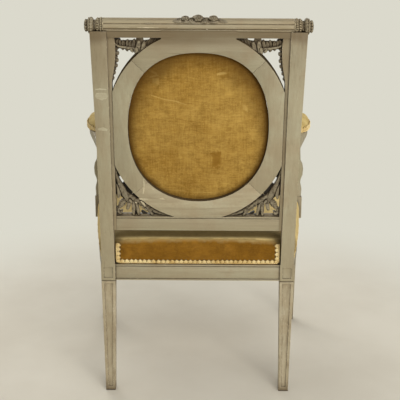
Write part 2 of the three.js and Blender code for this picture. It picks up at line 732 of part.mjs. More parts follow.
// Sections of the medallion from one angle to another, drawn from the opening's edge outwards.
function medallionSweep(outlineAt, from, to, steps, closed = false) {
  const angles = closed ? spread(steps, from, to).slice(0, -1) : spread(steps, from, to);
  return sweep(angles.map((angle) => {
    const [x, rise] = medallionPoint(angle, 0);
    return {
      outline: outlineAt(openingSwell(angle)),
      at: new THREE.Vector3(x, 0, rise),
      across: new THREE.Vector3(Math.cos(angle), 0, Math.sin(angle)),
      up: BACK,
    };
  }), closed);
}

// The band's section: flat at the back, with a raised bead around its outer edge in front.
function medallionOutline(inner) {
  const rear = -MEDALLION_SETBACK;
  const front = -MEDALLION_FRONT;
  const beadStart = MEDALLION_BAND - MEDALLION_FRONT_BEAD_WIDTH;
  return [
    [inner, rear], [inner, front], [beadStart, front], [beadStart, front - MEDALLION_FRONT_BEAD],
    [MEDALLION_BAND, front - MEDALLION_FRONT_BEAD], [MEDALLION_BAND, rear],
  ];
}

function medallionTongue(angle, grow = 0) {
  const [x, rise] = medallionPoint(angle, (openingSwell(angle) + MEDALLION_BAND) / 2);
  const depth = -MEDALLION_SETBACK - MEDALLION_THICKNESS / 2;
  const tongue = new THREE.BoxGeometry(
    TONGUE_WIDTH + 2 * grow, TONGUE_THICKNESS + 2 * grow, TONGUE_LENGTH + 2 * grow,
  );
  const lean = Math.atan2(rise - MEDALLION_RISE, x);
  tongue.rotateY(-lean).translate(x, depth, rise);
  return solidOf(tongue);
}

// One of the band's four pieces. They meet at the diagonals and are trimmed to the frame.
// The solid wood that closes the wedge between the oval's top and the rail.
function railTie() {
  const low = RAIL_AXIS_RISE - RAIL_TIE_DROP;
  return boxBetween(
    [-RAIL_TIE_REACH, -MEDALLION_FRONT, low], [RAIL_TIE_REACH, -MEDALLION_SETBACK, RAIL_AXIS_RISE],
  );
}
function medallionSegment(quarter) {
  const middle = quarter * (Math.PI / 2);
  const reach = Math.PI / 4 - JOINT_GAP / 2 / MEDALLION_HALF_WIDTH;
  const band = medallionSweep(medallionOutline, middle - reach, middle + reach, MEDALLION_STEPS);
  const [wide, tall] = [2 * REAR_LEG_SPACING, 2 * RAIL_AXIS_RISE];
  const trims = [-1, 1].map((side) => boxBetween(
    [side * (STRIP_INNER_X - JOINT_GAP), -tall, 0], [side * wide, tall, tall],
  ));
  const foot = LOWER_RAIL_RISE + LOWER_RAIL_HEIGHT + JOINT_GAP;
  const lowerTrim = boxBetween([-wide, -tall, 0], [wide, tall, foot]);
  const upperTrim = railBar(TOP_RAIL_RADIUS + JOINT_GAP, -wide, wide);
  const slots = [-1, 1].map((end) => medallionTongue(middle + end * Math.PI / 4, JOINT_GAP));
  const body = quarter === 1 ? joined(band, railTie()) : band;
  return cut(body, ...trims, lowerTrim, upperTrim, ...slots);
}

// Carved corners

// The oval that the medallion fills, as a plate that trims what stands against it.
function medallionDisc(grow) {
  const outline = spread(2 * OVAL_STEPS, 0, 2 * Math.PI).slice(0, -1)
    .map((angle) => medallionPoint(angle, MEDALLION_BAND + grow));
  return backPlate(outline, -SEAT_RAIL_HEIGHT, STILE_DEPTH + SEAT_RAIL_HEIGHT);
}

// How far a scalloped edge stands out at a share of its length.
function lobed(share, lobes) {
  return 1 - LEAF_LOBE_SHARE * Math.abs(Math.cos(Math.PI * lobes * share));
}

// A leaf under the top rail with its scalloped edge up, and a narrow leaf down the stile.
function upperCorner(side) {
  const corner = STRIP_INNER_X - JOINT_GAP;
  const top = RAIL_AXIS_RISE - TOP_RAIL_RADIUS - LEAF_SLOT;
  const shares = spread(LEAF_STEPS, 0, 1);
  const crownEdge = shares.map((share) => [
    side * (corner - share * UPPER_LEAF_REACH),
    top - SCALLOP_SHARE * UPPER_LEAF_WIDTH * Math.abs(Math.cos(Math.PI * LEAF_LOBES * share)),
  ]);
  const bellyEdge = shares.slice().reverse().map((share) => [
    side * (corner - share * UPPER_LEAF_REACH),
    top - UPPER_LEAF_WIDTH * lerp(LEAF_TIP_SHARE, 1, Math.sin(Math.PI * share) ** LEAF_BELLY_SHARE),
  ]);
  const stileEdge = shares.slice().reverse().map((share) => [
    side * (corner - STILE_LEAF_WIDTH * lobed(share, LEAF_LOBES) * (1 - share * (1 - LEAF_TIP_SHARE))),
    top - share * STILE_LEAF_FALL - LEAF_SLOT,
  ]);
  const stileRoot = [[side * corner, top - LEAF_SLOT], [side * corner, top - LEAF_SLOT - STILE_LEAF_FALL]];
  const [rear, front] = [LEAF_SETBACK, LEAF_SETBACK + LEAF_THICKNESS];
  const across = backPlate([...crownEdge, ...bellyEdge], rear, front);
  const down = backPlate([...stileRoot, ...stileEdge], rear, front);
  return cut(joined(across, down), medallionDisc(JOINT_GAP));
}

// A foliate corner over the lower rail, pierced by leaf-shaped gaps.
function lowerCorner(side) {
  const corner = STRIP_INNER_X - JOINT_GAP;
  const foot = LOWER_RAIL_RISE + LOWER_RAIL_HEIGHT + JOINT_GAP;
  const [rear, front] = [LEAF_SETBACK, LEAF_SETBACK + LEAF_THICKNESS];
  const place = (reach, rise) => [
    side * (corner - reach * LOWER_LEAF_REACH), foot + rise * LOWER_LEAF_RISE,
  ];
  const panel = backPlate([place(0, 0), place(1, 0), place(0, 1)], rear, front);
  const gaps = LOWER_GAP_SHARES.map(([reach, rise, wide, tall]) => backPlate(
    spread(GAP_STEPS, 0, 2 * Math.PI).slice(0, -1)
      .map((angle) => place(reach + wide * Math.cos(angle), rise + tall * Math.sin(angle))),
    rear - OVERRUN,
    front + OVERRUN,
  ));
  return cut(panel, medallionDisc(JOINT_GAP), ...gaps);
}

// Low mounds of carved flowers in a row on top of the rail.
function crest() {
  const mounds = CREST_MOUND_SHARES.map(([along, half, height]) => {
    const mound = new THREE.SphereGeometry(1, MOUND_STEPS, MOUND_STEPS / 2);
    const tall = TOP_RAIL_RADIUS / 2 + height * CREST_RISE;
    mound.scale(half * CREST_LENGTH, CREST_DEPTH / 2, tall);
    const rise = RAIL_AXIS_RISE + TOP_RAIL_RADIUS / 2;
    return solidOf(mound.translate(along * CREST_LENGTH - CREST_OFFSET, -RAIL_AXIS_SETBACK, rise));
  });
  return cut(joined(...mounds), railBar(TOP_RAIL_RADIUS + JOINT_GAP, -CREST_LENGTH, CREST_LENGTH));
}

// Arms

function armJoint() {
  return new THREE.Vector3(
    STILE_INNER_X + STILE_WIDTH_AT_ARM / 2, -STILE_DEPTH, ARM_JOINT_RISE,
  ).applyMatrix4(RAKED);
}

function armPath(side) {
  const joint = armJoint();
  return new THREE.CatmullRomCurve3(ARM_PATH_SHARES.map(([reach, out, drop]) => new THREE.Vector3(
    side * lerp(joint.x, ARM_TIP_X, out),
    lerp(joint.y, -ARM_REACH, reach),
    ARM_JOINT_HEIGHT - drop * ARM_FRONT_DROP,
  )));
}

// A station on the arm, with an outline that stands upright across its run.
function armStation(path, share, outline, lift = 0) {
  const run = path.getTangent(THREE.MathUtils.clamp(share, 0, 1));
  const across = new THREE.Vector3().crossVectors(run, UP).normalize();
  const up = new THREE.Vector3().crossVectors(across, run);
  return { outline, at: path.getPoint(share).addScaledVector(up, lift), across, up };
}

function armTenon(side, grow = 0) {
  const x = side * (STILE_INNER_X + STILE_WIDTH_AT_ARM / 2);
  const half = ARM_TENON_WIDTH / 2 + grow;
  return boxBetween(
    [x - half, -STILE_DEPTH - 2 * OVERRUN, ARM_JOINT_RISE - half],
    [x + half, -STILE_DEPTH + ARM_TENON_LENGTH + grow, ARM_JOINT_RISE + half],
    RAKED,
  );
}

function armBody(side, grow = 0) {
  const path = armPath(side);
  const outline = roundedRectangle(ARM_WIDTH + 2 * grow, ARM_HEIGHT + 2 * grow, ARM_HEIGHT / 4, EDGE_STEPS);
  const body = sweep(spread(ARM_STEPS, 0, 1).map((share) => armStation(path, share, outline)));
  const tip = path.getPoint(1);
  const scroll = new THREE.CylinderGeometry(
    SCROLL_RADIUS + grow, SCROLL_RADIUS + grow, SCROLL_WIDTH + 2 * grow, ROUND_STEPS,
  );
  scroll.rotateZ(Math.PI / 2).translate(tip.x, tip.y, tip.z + ARM_HEIGHT / 2 - SCROLL_RADIUS);
  return joined(body, solidOf(scroll));
}

function arm(side) {
  return joined(cut(armBody(side), rearPostStile(side, JOINT_GAP)), armTenon(side));
}

function plinth(side, grow = 0) {
  const half = PLINTH_WIDTH / 2 + grow;
  return boxBetween(
    [side * SUPPORT_BASE_X - half, SUPPORT_BASE_Y - half, SEAT_RAIL_TOP + JOINT_GAP - grow],
    [side * SUPPORT_BASE_X + half, SUPPORT_BASE_Y + half, SEAT_RAIL_TOP + PLINTH_HEIGHT],
  );
}

// The carved post between the seat rail and the arm: a bellied foot that narrows and leans back.
function supportPost(side, grow = 0) {
  const tip = armPath(side).getPoint(1);
  const foot = SEAT_RAIL_TOP + PLINTH_HEIGHT - OVERRUN;
  const base = new THREE.Vector3(side * SUPPORT_BASE_X, SUPPORT_BASE_Y, foot);
  const route = SUPPORT_PATH_SHARES.map(([rise, back, width]) => {
    const place = new THREE.Vector3(
      lerp(base.x, tip.x, back),
      lerp(base.y, tip.y, back),
      lerp(base.z, tip.z, rise),
    );
    const belly = Math.sin(Math.PI * Math.min(1, rise / BELLY_TOP_SHARE));
    place.x += side * SUPPORT_BULGE * belly;
    return [place, width];
  });
  return sweep(route.map(([place, share]) => {
    const width = SUPPORT_WIDTH * share + 2 * grow;
    return {
      outline: roundedRectangle(width, width, SUPPORT_WIDTH / 4, EDGE_STEPS),
      at: place,
      across: RIGHT,
      up: BACK,
    };
  }));
}

function armSupport(side) {
  return cut(joined(plinth(side), supportPost(side)), armBody(side, JOINT_GAP));
}

// How full the pad is at a share of its own length, full in the middle and low at its ends.
function padFullness(share) {
  return Math.max(PAD_TIP_SHARE, Math.sqrt(1 - Math.abs(2 * share - 1) ** 3));
}

function padBody(side, grow = 0) {
  const path = armPath(side);
  const lift = ARM_HEIGHT / 2 + JOINT_GAP;
  return sweep(spread(PAD_STEPS, 0, 1).map((share) => {
    const fullness = padFullness(share);
    const along = lerp(PAD_START_SHARE, PAD_END_SHARE, share) + Math.sign(share - 0.5) * grow / ARM_REACH;
    const outline = loaf(
      ARM_PAD_WIDTH * fullness + 2 * grow, ARM_PAD_CROWN * fullness + grow, LOAF_STEPS, grow,
    );
    return armStation(path, along, outline, lift);
  }));
}

function armPadGimp(side) {
  const path = armPath(side);
  const [start, end] = [PAD_START_SHARE - GIMP_WIDTH / ARM_REACH, PAD_END_SHARE + GIMP_WIDTH / ARM_REACH];
  const slab = sweep(spread(PAD_STEPS, start, end).map((share) => armStation(
    path,
    share,
    rectangle(2 * ARM_PAD_WIDTH, ARM_PAD_GIMP_HEIGHT),
    ARM_HEIGHT / 2 + JOINT_GAP + ARM_PAD_GIMP_HEIGHT / 2,
  )));
  return cut(padBody(side, JOINT_GAP + GIMP_THICKNESS).intersect(slab), padBody(side, JOINT_GAP));
}

// Upholstery

// The seat's outline in plan, grown outwards by given amounts from the rails' faces.
function seatFootprint(sideGrow, frontGrow, rearGrow) {
  const rearY = -RAIL_INSET - SEAT_REAR_MARGIN + rearGrow;
  const frontY = FRONT_LEG_Y;
  const sideX = (y) => sideFaceX(y) - SEAT_SIDE_MARGIN + sideGrow;
  const frontX = sideX(frontY) * SEAT_CORNER_SHARE;
  const rearX = sideX(rearY) * SEAT_CORNER_SHARE;
  const rear = spread(SEAT_REAR_STEPS, -rearX, rearX).map((x) => [x, rearY]);
  const left = spread(SEAT_SIDE_STEPS, rearY - SEAT_CORNER_RUN, frontY).map((y) => [sideX(y), y]);
  const front = spread(SEAT_FRONT_STEPS, frontX, -frontX)
    .map((x) => [x, frontFaceY(x) + SEAT_SIDE_MARGIN - frontGrow]);
  const right = left.slice().reverse().map(([x, y]) => [-x, y]);
  return [...rear, ...left, ...front, ...right];
}

function seatBody(grow = 0) {
  const base = SEAT_RAIL_TOP + JOINT_GAP - grow;
  const middleY = (REAR_LEG_Y + FRONT_LEG_Y) / 2;
  const edge = SEAT_EDGE_SHARES.map(([rise, bulge]) => ({
    outline: seatFootprint(
      bulge * SEAT_SIDE_BULGE + grow, bulge * SEAT_FRONT_BULGE + grow, Math.min(bulge, 0) + grow,
    ),
    at: UP.clone().multiplyScalar(base + rise * SEAT_EDGE_HEIGHT),
    across: RIGHT,
    up: BACK,
  }));
  const rim = edge[edge.length - 1].outline;
  const crown = SEAT_CROWN_SHARES.map(([scale, rise]) => ({
    outline: rim.map(([x, y]) => [x * scale, lerp(middleY, y, scale)]),
    at: UP.clone().multiplyScalar(base + SEAT_EDGE_HEIGHT + rise * SEAT_CROWN),
    across: RIGHT,
    up: BACK,
  }));
  return sweep([...edge, ...crown]);
}

function seatObstacles(grow) {
  return [1, -1].flatMap((side) => {
    const [x, half] = [side * REAR_LEG_X, DIE_WIDTH / 2 + grow];
    const die = boxBetween(
      [x - half, REAR_LEG_Y - half, SEAT_RAIL_BOTTOM],
      [x + half, REAR_LEG_Y + half, SEAT_RAIL_TOP + DIE_LIFT + grow],
    );
    return [die, rearPostStile(side, grow), plinth(side, grow), supportPost(side, grow)];
  });
}

function seatCushion() {
  return cut(seatBody(), ...seatObstacles(SOFT_GAP));
}

// The braid around the seat's foot, kept within one or more boxes.
function seatGimp(...regions) {
  const shell = cut(seatBody(JOINT_GAP + GIMP_THICKNESS), seatBody(JOINT_GAP));
  return cut(shell.intersect(joined(...regions)), ...seatObstacles(JOINT_GAP));
}

function rearSeatGimp() {
  const end = REAR_LEG_X - DIE_WIDTH / 2 - JOINT_GAP;
  const middleY = -DIE_WIDTH / 2;
  const risers = [1, -1].map((side) => boxBetween(
    [side * (end - GIMP_WIDTH), middleY, GIMP_FLOOR],
    [side * end, 0, GIMP_FLOOR + SEAT_EDGE_HEIGHT * RISER_SHARE],
  ));
  return seatGimp(boxBetween([-end, middleY, GIMP_FLOOR], [end, 0, GIMP_TOP]), ...risers);
}

function sideSeatGimp(side) {
  const rear = -DIE_WIDTH - JOINT_GAP;
  const front = SUPPORT_BASE_Y + PLINTH_WIDTH / 2 + JOINT_GAP;
  return seatGimp(boxBetween(
    [side * REAR_LEG_X / 2, front, GIMP_FLOOR],
    [side * FRONT_LEG_SPACING, rear, GIMP_TOP],
  ));
}

function frontSeatGimp() {
  const rear = SUPPORT_BASE_Y - PLINTH_WIDTH / 2 - JOINT_GAP;
  const wide = FRONT_LEG_SPACING;
  const front = FRONT_LEG_Y - DIE_WIDTH - FRONT_RAIL_BOW - SEAT_FRONT_BULGE;
  return seatGimp(boxBetween([-wide, front, GIMP_FLOOR], [wide, rear, GIMP_TOP]));
}

// Straps laid both ways into the rails' rabbets, as one net.
function seatWebbing() {
  const low = SEAT_RAIL_TOP - RABBET_DEPTH + JOINT_GAP;
  const ledge = SEAT_RAIL_THICKNESS - RABBET_WIDTH + JOINT_GAP;
  const half = WEBBING_WIDTH / 2;
  const rearY = -RAIL_INSET - ledge;
  const reachX = REAR_LEG_X - DIE_WIDTH - WEBBING_WIDTH / 2;
  const long = spread(WEBBING_LONG_STRAPS - 1, -reachX, reachX).map((x) => plate([
    [x - half, rearY],
    [x + half, rearY],
    [x + half, frontFaceY(x + half) + ledge],
    [x, frontFaceY(x) + ledge],
    [x - half, frontFaceY(x - half) + ledge],
  ], low, low + WEBBING_THICKNESS));
  const reachY = [REAR_LEG_Y - DIE_WIDTH - WEBBING_WIDTH, FRONT_LEG_Y + DIE_WIDTH + WEBBING_WIDTH];
  const cross = spread(WEBBING_CROSS_STRAPS - 1, ...reachY).map((y) => {
    const [near, far] = [y + half, y - half];
    const [nearX, farX] = [sideFaceX(near) - ledge, sideFaceX(far) - ledge];
    const outline = [[-nearX, near], [nearX, near], [farX, far], [-farX, far]];
    return plate(outline, low + WEAVE_LIFT, low + WEAVE_LIFT + WEBBING_THICKNESS);
  });
  return joined(...long, ...cross);
}

// The coarse cloth over the straps, cut round the corner posts.
function seatCanvas() {
  const low = SEAT_RAIL_TOP - RABBET_DEPTH + WEAVE_LIFT + WEBBING_THICKNESS + 2 * JOINT_GAP;
  const ledge = SEAT_RAIL_THICKNESS - RABBET_WIDTH + JOINT_GAP;
  const rearY = -RAIL_INSET - ledge;
  const frontY = FRONT_LEG_Y;
  const left = spread(SEAT_SIDE_STEPS, rearY, frontY).map((y) => [sideFaceX(y) - ledge, y]);
  const frontX = sideFaceX(frontY) - ledge;
  const front = spread(SEAT_FRONT_STEPS, frontX, -frontX).slice(1, -1).map((x) => [x, frontFaceY(x) + ledge]);
  const right = left.slice().reverse().map(([x, y]) => [-x, y]);
  const sheet = plate([...left, ...front, ...right], low, low + CANVAS_THICKNESS);
  const dies = [1, -1].flatMap((side) => [[REAR_LEG_X, REAR_LEG_Y], [FRONT_LEG_X, FRONT_LEG_Y]]
    .map(([x, y]) => {
      const half = DIE_WIDTH / 2 + JOINT_GAP;
      return boxBetween([side * x - half, y - half, 0], [side * x + half, y + half, SEAT_RAIL_TOP + OVERRUN]);
    }));
  return cut(sheet, ...dies);
}

// A glued block in a corner of the seat frame, fitted round the leg.
function cornerBlock(side, row) {
  const [legX, legY] = row > 0 ? [REAR_LEG_X, REAR_LEG_Y] : [FRONT_LEG_X, FRONT_LEG_Y];
  const inner = SEAT_RAIL_THICKNESS + JOINT_GAP;
  const crossY = (x) => (row > 0 ? -RAIL_INSET - inner : frontFaceY(x) + inner);
  const sideX = (y) => sideFaceX(y) - inner;
  const legSideX = legX - DIE_WIDTH / 2 - JOINT_GAP;
  const legFrontY = legY - row * (DIE_WIDTH / 2 + JOINT_GAP);
  const nearX = legSideX - CORNER_BLOCK_REACH;
  const farY = legFrontY - row * CORNER_BLOCK_REACH;
  const outline = [
    [nearX, crossY(nearX)],
    [legSideX, crossY(legSideX)],
    [legSideX, legFrontY],
    [sideX(legFrontY), legFrontY],
    [sideX(farY), farY],
  ].map(([x, y]) => [side * x, y]);
  const low = SEAT_RAIL_BOTTOM + (SEAT_RAIL_HEIGHT - RABBET_DEPTH - CORNER_BLOCK_HEIGHT) / 2;
  return plate(outline, low, low + CORNER_BLOCK_HEIGHT);
}

// An oval body in the medallion's opening, from rings given as inset and depth.
function ovalBody(rings) {
  return sweep(rings.map(([inset, depth]) => ({
    outline: spread(OVAL_STEPS, 0, 2 * Math.PI).slice(0, -1).map((angle) => {
      const out = openingSwell(angle) * (1 - inset / MEDALLION_HALF_WIDTH) - inset;
      return [(MEDALLION_HALF_WIDTH + out) * Math.cos(angle), (MEDALLION_HALF_HEIGHT + out) * Math.sin(angle)];
    }),
    at: new THREE.Vector3(0, -depth, MEDALLION_RISE),
    across: RIGHT,
    up: UP,
  })));
}

function crownRings(edgeInset, edgeDepth, crown) {
  const half = MEDALLION_HALF_WIDTH - edgeInset;
  return OVAL_CROWN_SHARES.map(([scale, rise]) => [edgeInset + half * (1 - scale), edgeDepth + crown * rise]);
}

// The stretched cloth behind the back, seen through the medallion from the rear.
function outsideBackCloth() {
  const dome = crownRings(SOFT_GAP, BACK_CLOTH_SETBACK, -BACK_CLOTH_DOME);
  const rear = [[SOFT_GAP, BACK_CLOTH_SETBACK], ...dome];
  const front = rear.map(([inset, depth]) => [inset, depth + BACK_CLOTH_THICKNESS]);
  return ovalBody([...front.reverse(), ...rear]);
}

function backWebbing() {
  const rear = BACK_CLOTH_SETBACK + BACK_CLOTH_THICKNESS + SOFT_GAP;
  const front = rear + WEBBING_THICKNESS;
  const [wide, tall] = [MEDALLION_HALF_WIDTH - SOFT_GAP, MEDALLION_HALF_HEIGHT - SOFT_GAP];
  const half = BACK_WEBBING_WIDTH / 2;
  const straps = BACK_STRAP_SHARES.flatMap((share) => {
    const [x, rise] = [share * wide, MEDALLION_RISE + share * tall];
    return [
      boxBetween([x - half, -front, MEDALLION_RISE - tall], [x + half, -rear, MEDALLION_RISE + tall]),
      boxBetween([-wide, -front, rise - half], [wide, -rear, rise + half]),
    ];
  });
  return joined(...straps).intersect(ovalBody([[SOFT_GAP, rear - OVERRUN], [SOFT_GAP, front + OVERRUN]]));
}

function backPad() {
  const rear = BACK_CLOTH_SETBACK + BACK_CLOTH_THICKNESS + WEBBING_THICKNESS + 2 * SOFT_GAP;
  return ovalBody([
    [SOFT_GAP, rear], [SOFT_GAP, MEDALLION_FRONT], ...crownRings(SOFT_GAP, MEDALLION_FRONT, BACK_PAD_CROWN),
  ]);
}

function backGimp() {
  const near = -MEDALLION_FRONT - JOINT_GAP;
  const far = near - GIMP_THICKNESS;
  const outlineAt = (edge) => {
    const [inner, outer] = [edge + GIMP_THICKNESS, edge + GIMP_THICKNESS + GIMP_WIDTH];
    return [[inner, near], [inner, far], [outer, far], [outer, near]];
  };
  return medallionSweep(outlineAt, 0, 2 * Math.PI, 2 * OVAL_STEPS, true);
}

// The scene graph

function named(name, solid, colour, roughness) {
  const material = new THREE.MeshStandardMaterial({ color: colour, roughness, metalness: 0 });
  const mesh = new THREE.Mesh(geometryOf(solid), material);
  mesh.name = name;
  return mesh;
}

const painted = (name, solid) => named(name, solid, COLOURS.paint, PAINT_ROUGHNESS);
const velvet = (name, solid) => named(name, solid, COLOURS.velvet, CLOTH_ROUGHNESS);
const braid = (name, solid) => named(name, solid, COLOURS.gimp, CLOTH_ROUGHNESS);

function eachSide(make) {
  return [['left', 1], ['right', -1]].flatMap(([word, side]) => make(word, side));
}

function seatFrame() {
  const group = new THREE.Group();
  group.add(
    painted('rear_seat_rail', rearSeatRail()),
    painted('front_seat_rail', frontSeatRail()),
    ...eachSide((word, side) => [
      painted(`rear_post_${word}`, rearPost(side)),
      painted(`front_leg_${word}`, frontLeg(side)),
      painted(`side_seat_rail_${word}`, sideSeatRail(side)),
      named(`rear_corner_block_${word}`, cornerBlock(side, 1), COLOURS.rawWood, PAINT_ROUGHNESS),
      named(`front_corner_block_${word}`, cornerBlock(side, -1), COLOURS.rawWood, PAINT_ROUGHNESS),
    ]),
  );
  eachSide((word, side) => {
    const height = (SEAT_RAIL_BOTTOM + SEAT_RAIL_TOP) / 2;
    const seat = DIE_WIDTH / 2 - PANEL_DEPTH + JOINT_GAP;
    const onFront = painted(`front_rosette_${word}`, rosette());
    onFront.position.set(side * FRONT_LEG_X, FRONT_LEG_Y - seat, height);
    onFront.rotation.x = Math.PI / 2;
    const onSide = painted(`side_rosette_${word}`, rosette());
    onSide.position.set(side * (FRONT_LEG_X + seat), FRONT_LEG_Y, height);
    onSide.rotation.y = side * Math.PI / 2;
    group.add(onFront, onSide);
  });
  return group;
}

function backFrame() {
  const group = new THREE.Group();
  group.position.z = SEAT_RAIL_TOP;
  group.rotation.x = -THREE.MathUtils.degToRad(RAKE);
  const quarters = ['left', 'top', 'right', 'bottom'];
  group.add(
    painted('top_rail', topRail()),
    painted('lower_back_rail', lowerBackRail()),
    painted('crest_carving', crest()),
    ...quarters.map((word, quarter) => painted(`medallion_${word}`, medallionSegment(quarter))),
    ...quarters.map((word, quarter) => named(
      `medallion_tongue_${quarter + 1}`,
      medallionTongue((quarter + 0.5) * (Math.PI / 2)),
      COLOURS.rawWood,
      PAINT_ROUGHNESS,
    )),
    ...eachSide((word, side) => [
      painted(`finial_${word}`, finial(side)),
      painted(`upper_corner_carving_${word}`, upperCorner(side)),
      painted(`lower_corner_carving_${word}`, lowerCorner(side)),
    ]),
    velvet('outside_back_cloth', outsideBackCloth()),
    named('back_webbing', backWebbing(), COLOURS.webbing, CLOTH_ROUGHNESS),
    velvet('back_pad', backPad()),
    braid('back_gimp', backGimp()),
  );
  return group;
}

function arms() {
  const group = new THREE.Group();
  group.add(...eachSide((word, side) => [
    painted(`arm_${word}`, arm(side)),
    painted(`arm_support_${word}`, armSupport(side)),
    velvet(`arm_pad_${word}`, padBody(side)),
    braid(`arm_pad_gimp_${word}`, armPadGimp(side)),
  ]));
  return group;
}

function seatUpholstery() {
  const group = new THREE.Group();
  group.add(
    named('seat_webbing', seatWebbing(), COLOURS.webbing, CLOTH_ROUGHNESS),
    named('seat_canvas', seatCanvas(), COLOURS.canvas, CLOTH_ROUGHNESS),
    velvet('seat_cushion', seatCushion()),
    braid('seat_gimp_rear', rearSeatGimp()),
    braid('seat_gimp_front', frontSeatGimp()),
    ...eachSide((word, side) => [braid(`seat_gimp_${word}`, sideSeatGimp(side))]),
  );
  return group;
}

const fauteuil = new THREE.Group();
fauteuil.add(seatFrame(), backFrame(), arms(), seatUpholstery());

// The origin is on the floor in the middle of the chair's footprint.
const box = new THREE.Box3().setFromObject(fauteuil, true);
const middle = box.getCenter(new THREE.Vector3());
fauteuil.position.set(-middle.x, -middle.y, 0);

export default fauteuil;
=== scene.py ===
# %% [markdown]
# # A painted fauteuil, seen from behind
# The chair comes in as a fixed frame of joined wooden pieces. This script dresses that frame:
# it eases the edges of the joinery, carves the leaves and flowers, stuffs the cushions, sews on
# the braid, and gives every piece an aged finish. Nothing of the frame is moved.

import math

import bmesh
import bpy
import numpy as np
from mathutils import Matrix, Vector
from mathutils.bvhtree import BVHTree


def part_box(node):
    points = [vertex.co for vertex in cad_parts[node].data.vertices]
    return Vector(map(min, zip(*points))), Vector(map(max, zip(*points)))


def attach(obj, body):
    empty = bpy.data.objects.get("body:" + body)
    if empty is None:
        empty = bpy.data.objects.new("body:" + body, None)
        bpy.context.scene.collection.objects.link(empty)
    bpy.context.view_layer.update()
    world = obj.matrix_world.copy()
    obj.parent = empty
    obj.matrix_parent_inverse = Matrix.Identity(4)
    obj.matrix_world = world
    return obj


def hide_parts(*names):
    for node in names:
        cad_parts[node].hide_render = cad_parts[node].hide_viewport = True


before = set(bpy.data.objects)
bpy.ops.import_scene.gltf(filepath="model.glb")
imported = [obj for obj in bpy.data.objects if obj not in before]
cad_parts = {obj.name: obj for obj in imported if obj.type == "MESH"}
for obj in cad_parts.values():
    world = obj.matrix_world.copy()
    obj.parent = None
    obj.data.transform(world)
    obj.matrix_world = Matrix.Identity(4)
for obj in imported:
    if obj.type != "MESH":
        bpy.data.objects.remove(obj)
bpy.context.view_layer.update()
scene = bpy.context.scene

# %% [markdown]
# ## Places on the chair
# Most of what shows lies in the back, which leans. A place there is given as its distance from
# the middle, its depth in front of the back's rear face, and its rise above the seat rails.
# One function turns that into a point in the room, so each carving is drawn as on a flat bench.

# %% The leaning back
MM = 0.001
RAKE = math.radians(9.6)
SEAT_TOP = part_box("rear_seat_rail")[1].z
RAIL_INSET = 2 * MM
BACK_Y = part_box("rear_seat_rail")[1].y + RAIL_INSET
RISE_DIRECTION = np.array([0, math.sin(RAKE), math.cos(RAKE)])
REAR_DIRECTION = np.array([0, math.cos(RAKE), -math.sin(RAKE)])
ACROSS = np.array([1.0, 0, 0])
FORWARD = np.array([0, -1.0, 0])
UP = np.array([0, 0, 1.0])


def on_back(x, depth, rise):
    """A point of the back, from millimetres across, in front of its rear face, and up it."""
    foot = np.array([0, BACK_Y, SEAT_TOP])
    return foot + MM * (x * ACROSS - depth * REAR_DIRECTION + rise * RISE_DIRECTION)


print("top of the back:", on_back(0, 0, 615).round(3))

# %% [markdown]
# ## The camera
# The photograph was taken from behind, a little above the seat, with a long lens. The camera's
# place and turn were worked out from the corners of the legs, rails and posts.

# %% Camera
IMAGE_SIZE = 400
FOCAL_PIXELS = 1004.72
SENSOR = 36
CAMERA_PLACE = Vector((-0.0069, 2.5368, 1.1799))
CAMERA_YAW, CAMERA_PITCH, CAMERA_ROLL = 0.0009, 0.2807, 0.0058

camera = bpy.data.objects.new("camera", bpy.data.cameras.new("camera"))
camera.data.sensor_width = SENSOR
camera.data.lens = SENSOR * FOCAL_PIXELS / IMAGE_SIZE
scene.collection.objects.link(camera)


def aim(thing, place, forward, roll=0.0):
    """Puts a camera or lamp at a place, looking along a direction, turned by a roll."""
    right = forward.cross(Vector((0, 0, 1))).normalized()
    above = right.cross(forward)
    turned_right = math.cos(roll) * right + math.sin(roll) * above
    turned_up = math.cos(roll) * above - math.sin(roll) * right
    thing.rotation_mode = "QUATERNION"
    axes = [turned_right, turned_up, -forward]
    matrix = thing.matrix_world.to_3x3()
    for column, axis in enumerate(axes):
        matrix.col[column] = axis
    thing.rotation_quaternion = matrix.to_quaternion()
    thing.location = place


looking = Vector((
    math.sin(CAMERA_YAW) * math.cos(CAMERA_PITCH),
    -math.cos(CAMERA_YAW) * math.cos(CAMERA_PITCH),
    -math.sin(CAMERA_PITCH),
))
aim(camera, CAMERA_PLACE, looking, CAMERA_ROLL)
scene.camera = camera
print("lens:", round(camera.data.lens, 1), "mm")

# %% [markdown]
# ## Wiring nodes
# Every finish in this lesson is drawn by nodes, and most of them are sums, soft ramps, clouds
# and mixed colours. A few short functions place those, so that each finish below reads like a
# recipe. They could be placed by hand in the shader editor, but then nobody could read them.

# %% Node helpers
def feed(tree, target, source):
    """Wires a socket to what feeds it, or writes a plain value on it."""
    if isinstance(source, bpy.types.NodeSocket):
        tree.links.new(source, target)
    else:
        target.default_value = source


def node(tree, kind, settings=None, **wires):
    """Adds a node. Settings are its own options; wires name sockets and what feeds them."""
    made = tree.nodes.new("ShaderNode" + kind)
    for key, value in (settings or {}).items():
        setattr(made, key, value)
    for socket, source in wires.items():
        numbered = socket[0] == "i" and socket[1:].isdigit()
        feed(tree, made.inputs[int(socket[1:]) if numbered else socket.replace("_", " ")], source)
    return made


def sums(tree, operation, first, second=0.0, clamp=False):
    """One step of arithmetic on masks."""
    return node(tree, "Math", {"operation": operation, "use_clamp": clamp},
                i0=first, i1=second).outputs[0]


def times(tree, first, second):
    return sums(tree, "MULTIPLY", first, second)


def plus(tree, first, second):
    return sums(tree, "ADD", first, second)


def less(tree, first, second, clamp=False):
    return sums(tree, "SUBTRACT", first, second, clamp)


